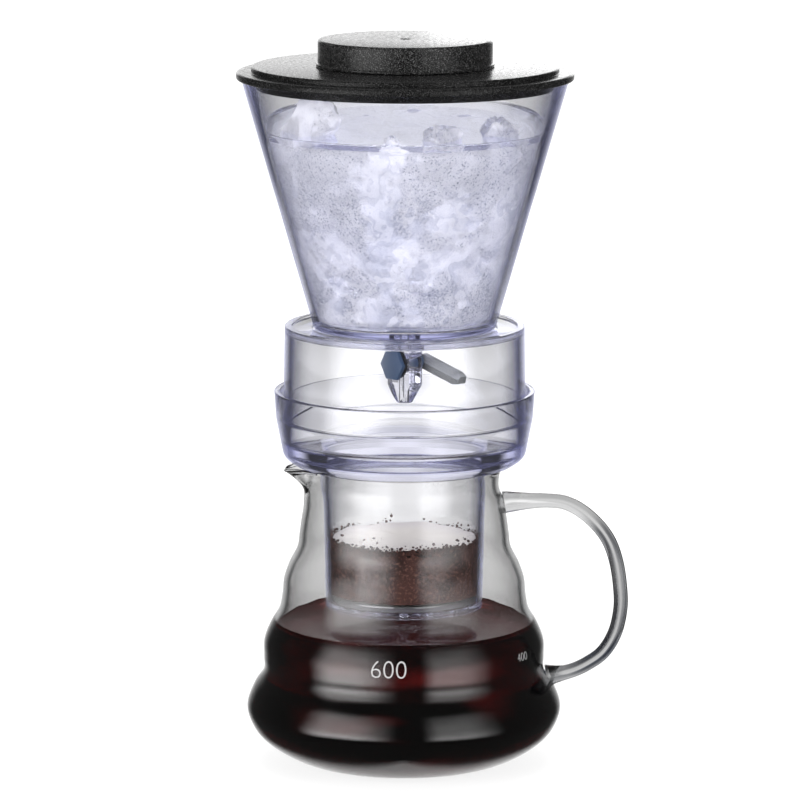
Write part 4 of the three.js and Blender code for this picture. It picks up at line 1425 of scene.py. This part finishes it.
def make_world():
    """White background. Mirror rays meet two tall softboxes in front and white low behind."""
    world = bpy.data.worlds.new("studio")
    bpy.context.scene.world = world
    tree = Tree(world)
    direction = tree.node("TexCoord").outputs["Generated"]
    axes = tree.node("SeparateXYZ", {"Vector": direction}).outputs
    azimuth = tree.math("ARCTAN2", axes["X"], tree.times(axes["Y"], -1.0))
    aside = tree.math("ABSOLUTE", azimuth)
    level = axes["Z"]

    def band(value, rise_from, rise_to, fall_from, fall_to):
        rise = tree.ramp(value, rise_from, rise_to)
        return tree.times(rise, tree.ramp(value, fall_from, fall_to, 1.0, 0.0))

    left = band(azimuth, *radians(LEFT_BOX_FADES))
    right = band(azimuth, *radians(RIGHT_BOX_FADES))
    right = tree.times(right, RIGHT_BOX_SHARE)
    boxes = tree.times(tree.math("ADD", left, right), band(level, *BOX_HEIGHTS))
    boxes = tree.times(boxes, tree.ramp(level, -0.3, 0.4, LOW_BOX_LEVEL, HIGH_BOX_LEVEL))
    behind = tree.times(tree.ramp(aside, *radians(BEHIND_FADE)), tree.ramp(level, 0.18, 0.26, 1.0, 0.3))
    mirrored = tree.math("ADD", tree.math("ADD", boxes, behind), AROUND_LEVEL)
    through = tree.ramp(tree.math("ABSOLUTE", level), 0.35, 0.85, 1.0, 0.55)
    through = tree.times(through, tree.ramp(aside, *radians(ASIDE_FADE), ASIDE_LEVEL, 1.0))
    rays = tree.node("LightPath").outputs
    scattered = tree.math("GREATER_THAN", rays["Diffuse Depth"], 0.5)
    strength = tree.pick(rays["Is Transmission Ray"], rays["Is Camera Ray"], through)
    strength = tree.pick(tree.mirror_ray(), strength, mirrored)
    strength = tree.pick(scattered, strength, FILL_LEVEL)
    light = tree.node("Background", {"Color": WHITE, "Strength": strength})
    tree.node("OutputWorld", {"Surface": light})


def make_lamp(name, place, size, power, aim_height=AIM_HEIGHT, mirrored=False):
    """Soft rectangular lamp that faces the object's axis, seen only in mirrors or not at all."""
    light = bpy.data.lights.new(name, "AREA")
    light.shape = "RECTANGLE"
    light.size, light.size_y = size
    light.energy = power
    lamp = bpy.data.objects.new(name, light)
    bpy.context.scene.collection.objects.link(lamp)
    lamp.location = place
    aim = Vector((0, 0, aim_height)) - Vector(place)
    lamp.rotation_euler = aim.to_track_quat("-Z", "Y").to_euler()
    lamp.visible_camera = False
    lamp.visible_diffuse = not mirrored
    lamp.visible_glossy = mirrored
    lamp.visible_transmission = False


def make_camera():
    camera = bpy.data.cameras.new("camera")
    camera.lens = FOCAL_LENGTH
    camera.sensor_width = SENSOR_WIDTH
    camera.clip_end = 100
    eye = bpy.data.objects.new("camera", camera)
    bpy.context.scene.collection.objects.link(eye)
    height = AIM_HEIGHT + CAMERA_DISTANCE * math.tan(CAMERA_PITCH)
    look = Matrix.Rotation(math.pi / 2 - CAMERA_PITCH, 4, "X") @ Matrix.Rotation(CAMERA_ROLL, 4, "Z")
    eye.matrix_world = Matrix.Translation((CAMERA_SIDE, -CAMERA_DISTANCE, height)) @ look
    bpy.context.scene.camera = eye


def light_settings():
    """Enough bounces for light to cross every wall of glass, plastic, water and ice."""
    scene = bpy.context.scene
    scene.view_settings.view_transform = "Standard"
    scene.cycles.max_bounces = 28
    scene.cycles.transmission_bounces = 28
    scene.cycles.glossy_bounces = 8
    scene.cycles.diffuse_bounces = 8
    scene.cycles.transparent_max_bounces = 32
    scene.cycles.caustics_reflective = False
    scene.cycles.caustics_refractive = True


make_camera()
make_floor()
make_world()
make_lamp("key_left", (-1.15, -1.2, 0.5), (0.9, 1.2), 41)
make_lamp("key_right", (1.2, -1.15, 0.5), (0.9, 1.2), 36)
make_lamp("top", (0.0, 0.3, 1.6), (1.0, 1.0), 16)
make_lamp("rim", (0.0, 1.5, 0.55), (1.6, 1.0), 20)
make_lamp("card", (0.0, 0.62, 0.335), (0.5, 0.17), 0.31, 0.335, True)
make_lamp("card_right", (0.16, 0.62, 0.335), (0.3, 0.17), 0.26, 0.335, True)
light_settings()

make_server()
make_lip_bead()
make_handle()
make_coffee()
wrapped_text("mark_capacity", "600", 0.0095, 60, math.radians(-96.2))
wrapped_text("mark_400", "400", 0.0046, 35, math.radians(-33.5))
make_filter_cup()
make_seal()
make_grounds()
make_crumbs()
make_paper_disc()
make_drip_ring()
make_tank()
make_water()
make_packed_ice()
make_loose_ice()
make_valve_body()
make_plug()
make_plug_washer()
make_cap_nut()
make_lever()
make_lid()
make_knob()
for node, material in (
    ("filter_disc", STEEL),
    ("valve_gasket_lower", FROSTED),
    ("valve_gasket_upper", FROSTED),
    ("valve_lock_nut", BLUE_GREY),
    ("plug_o_ring_front", RUBBER),
    ("plug_o_ring_rear", RUBBER),
    ("lid_knob_screw", STEEL),
):
    finish_node(node, material)
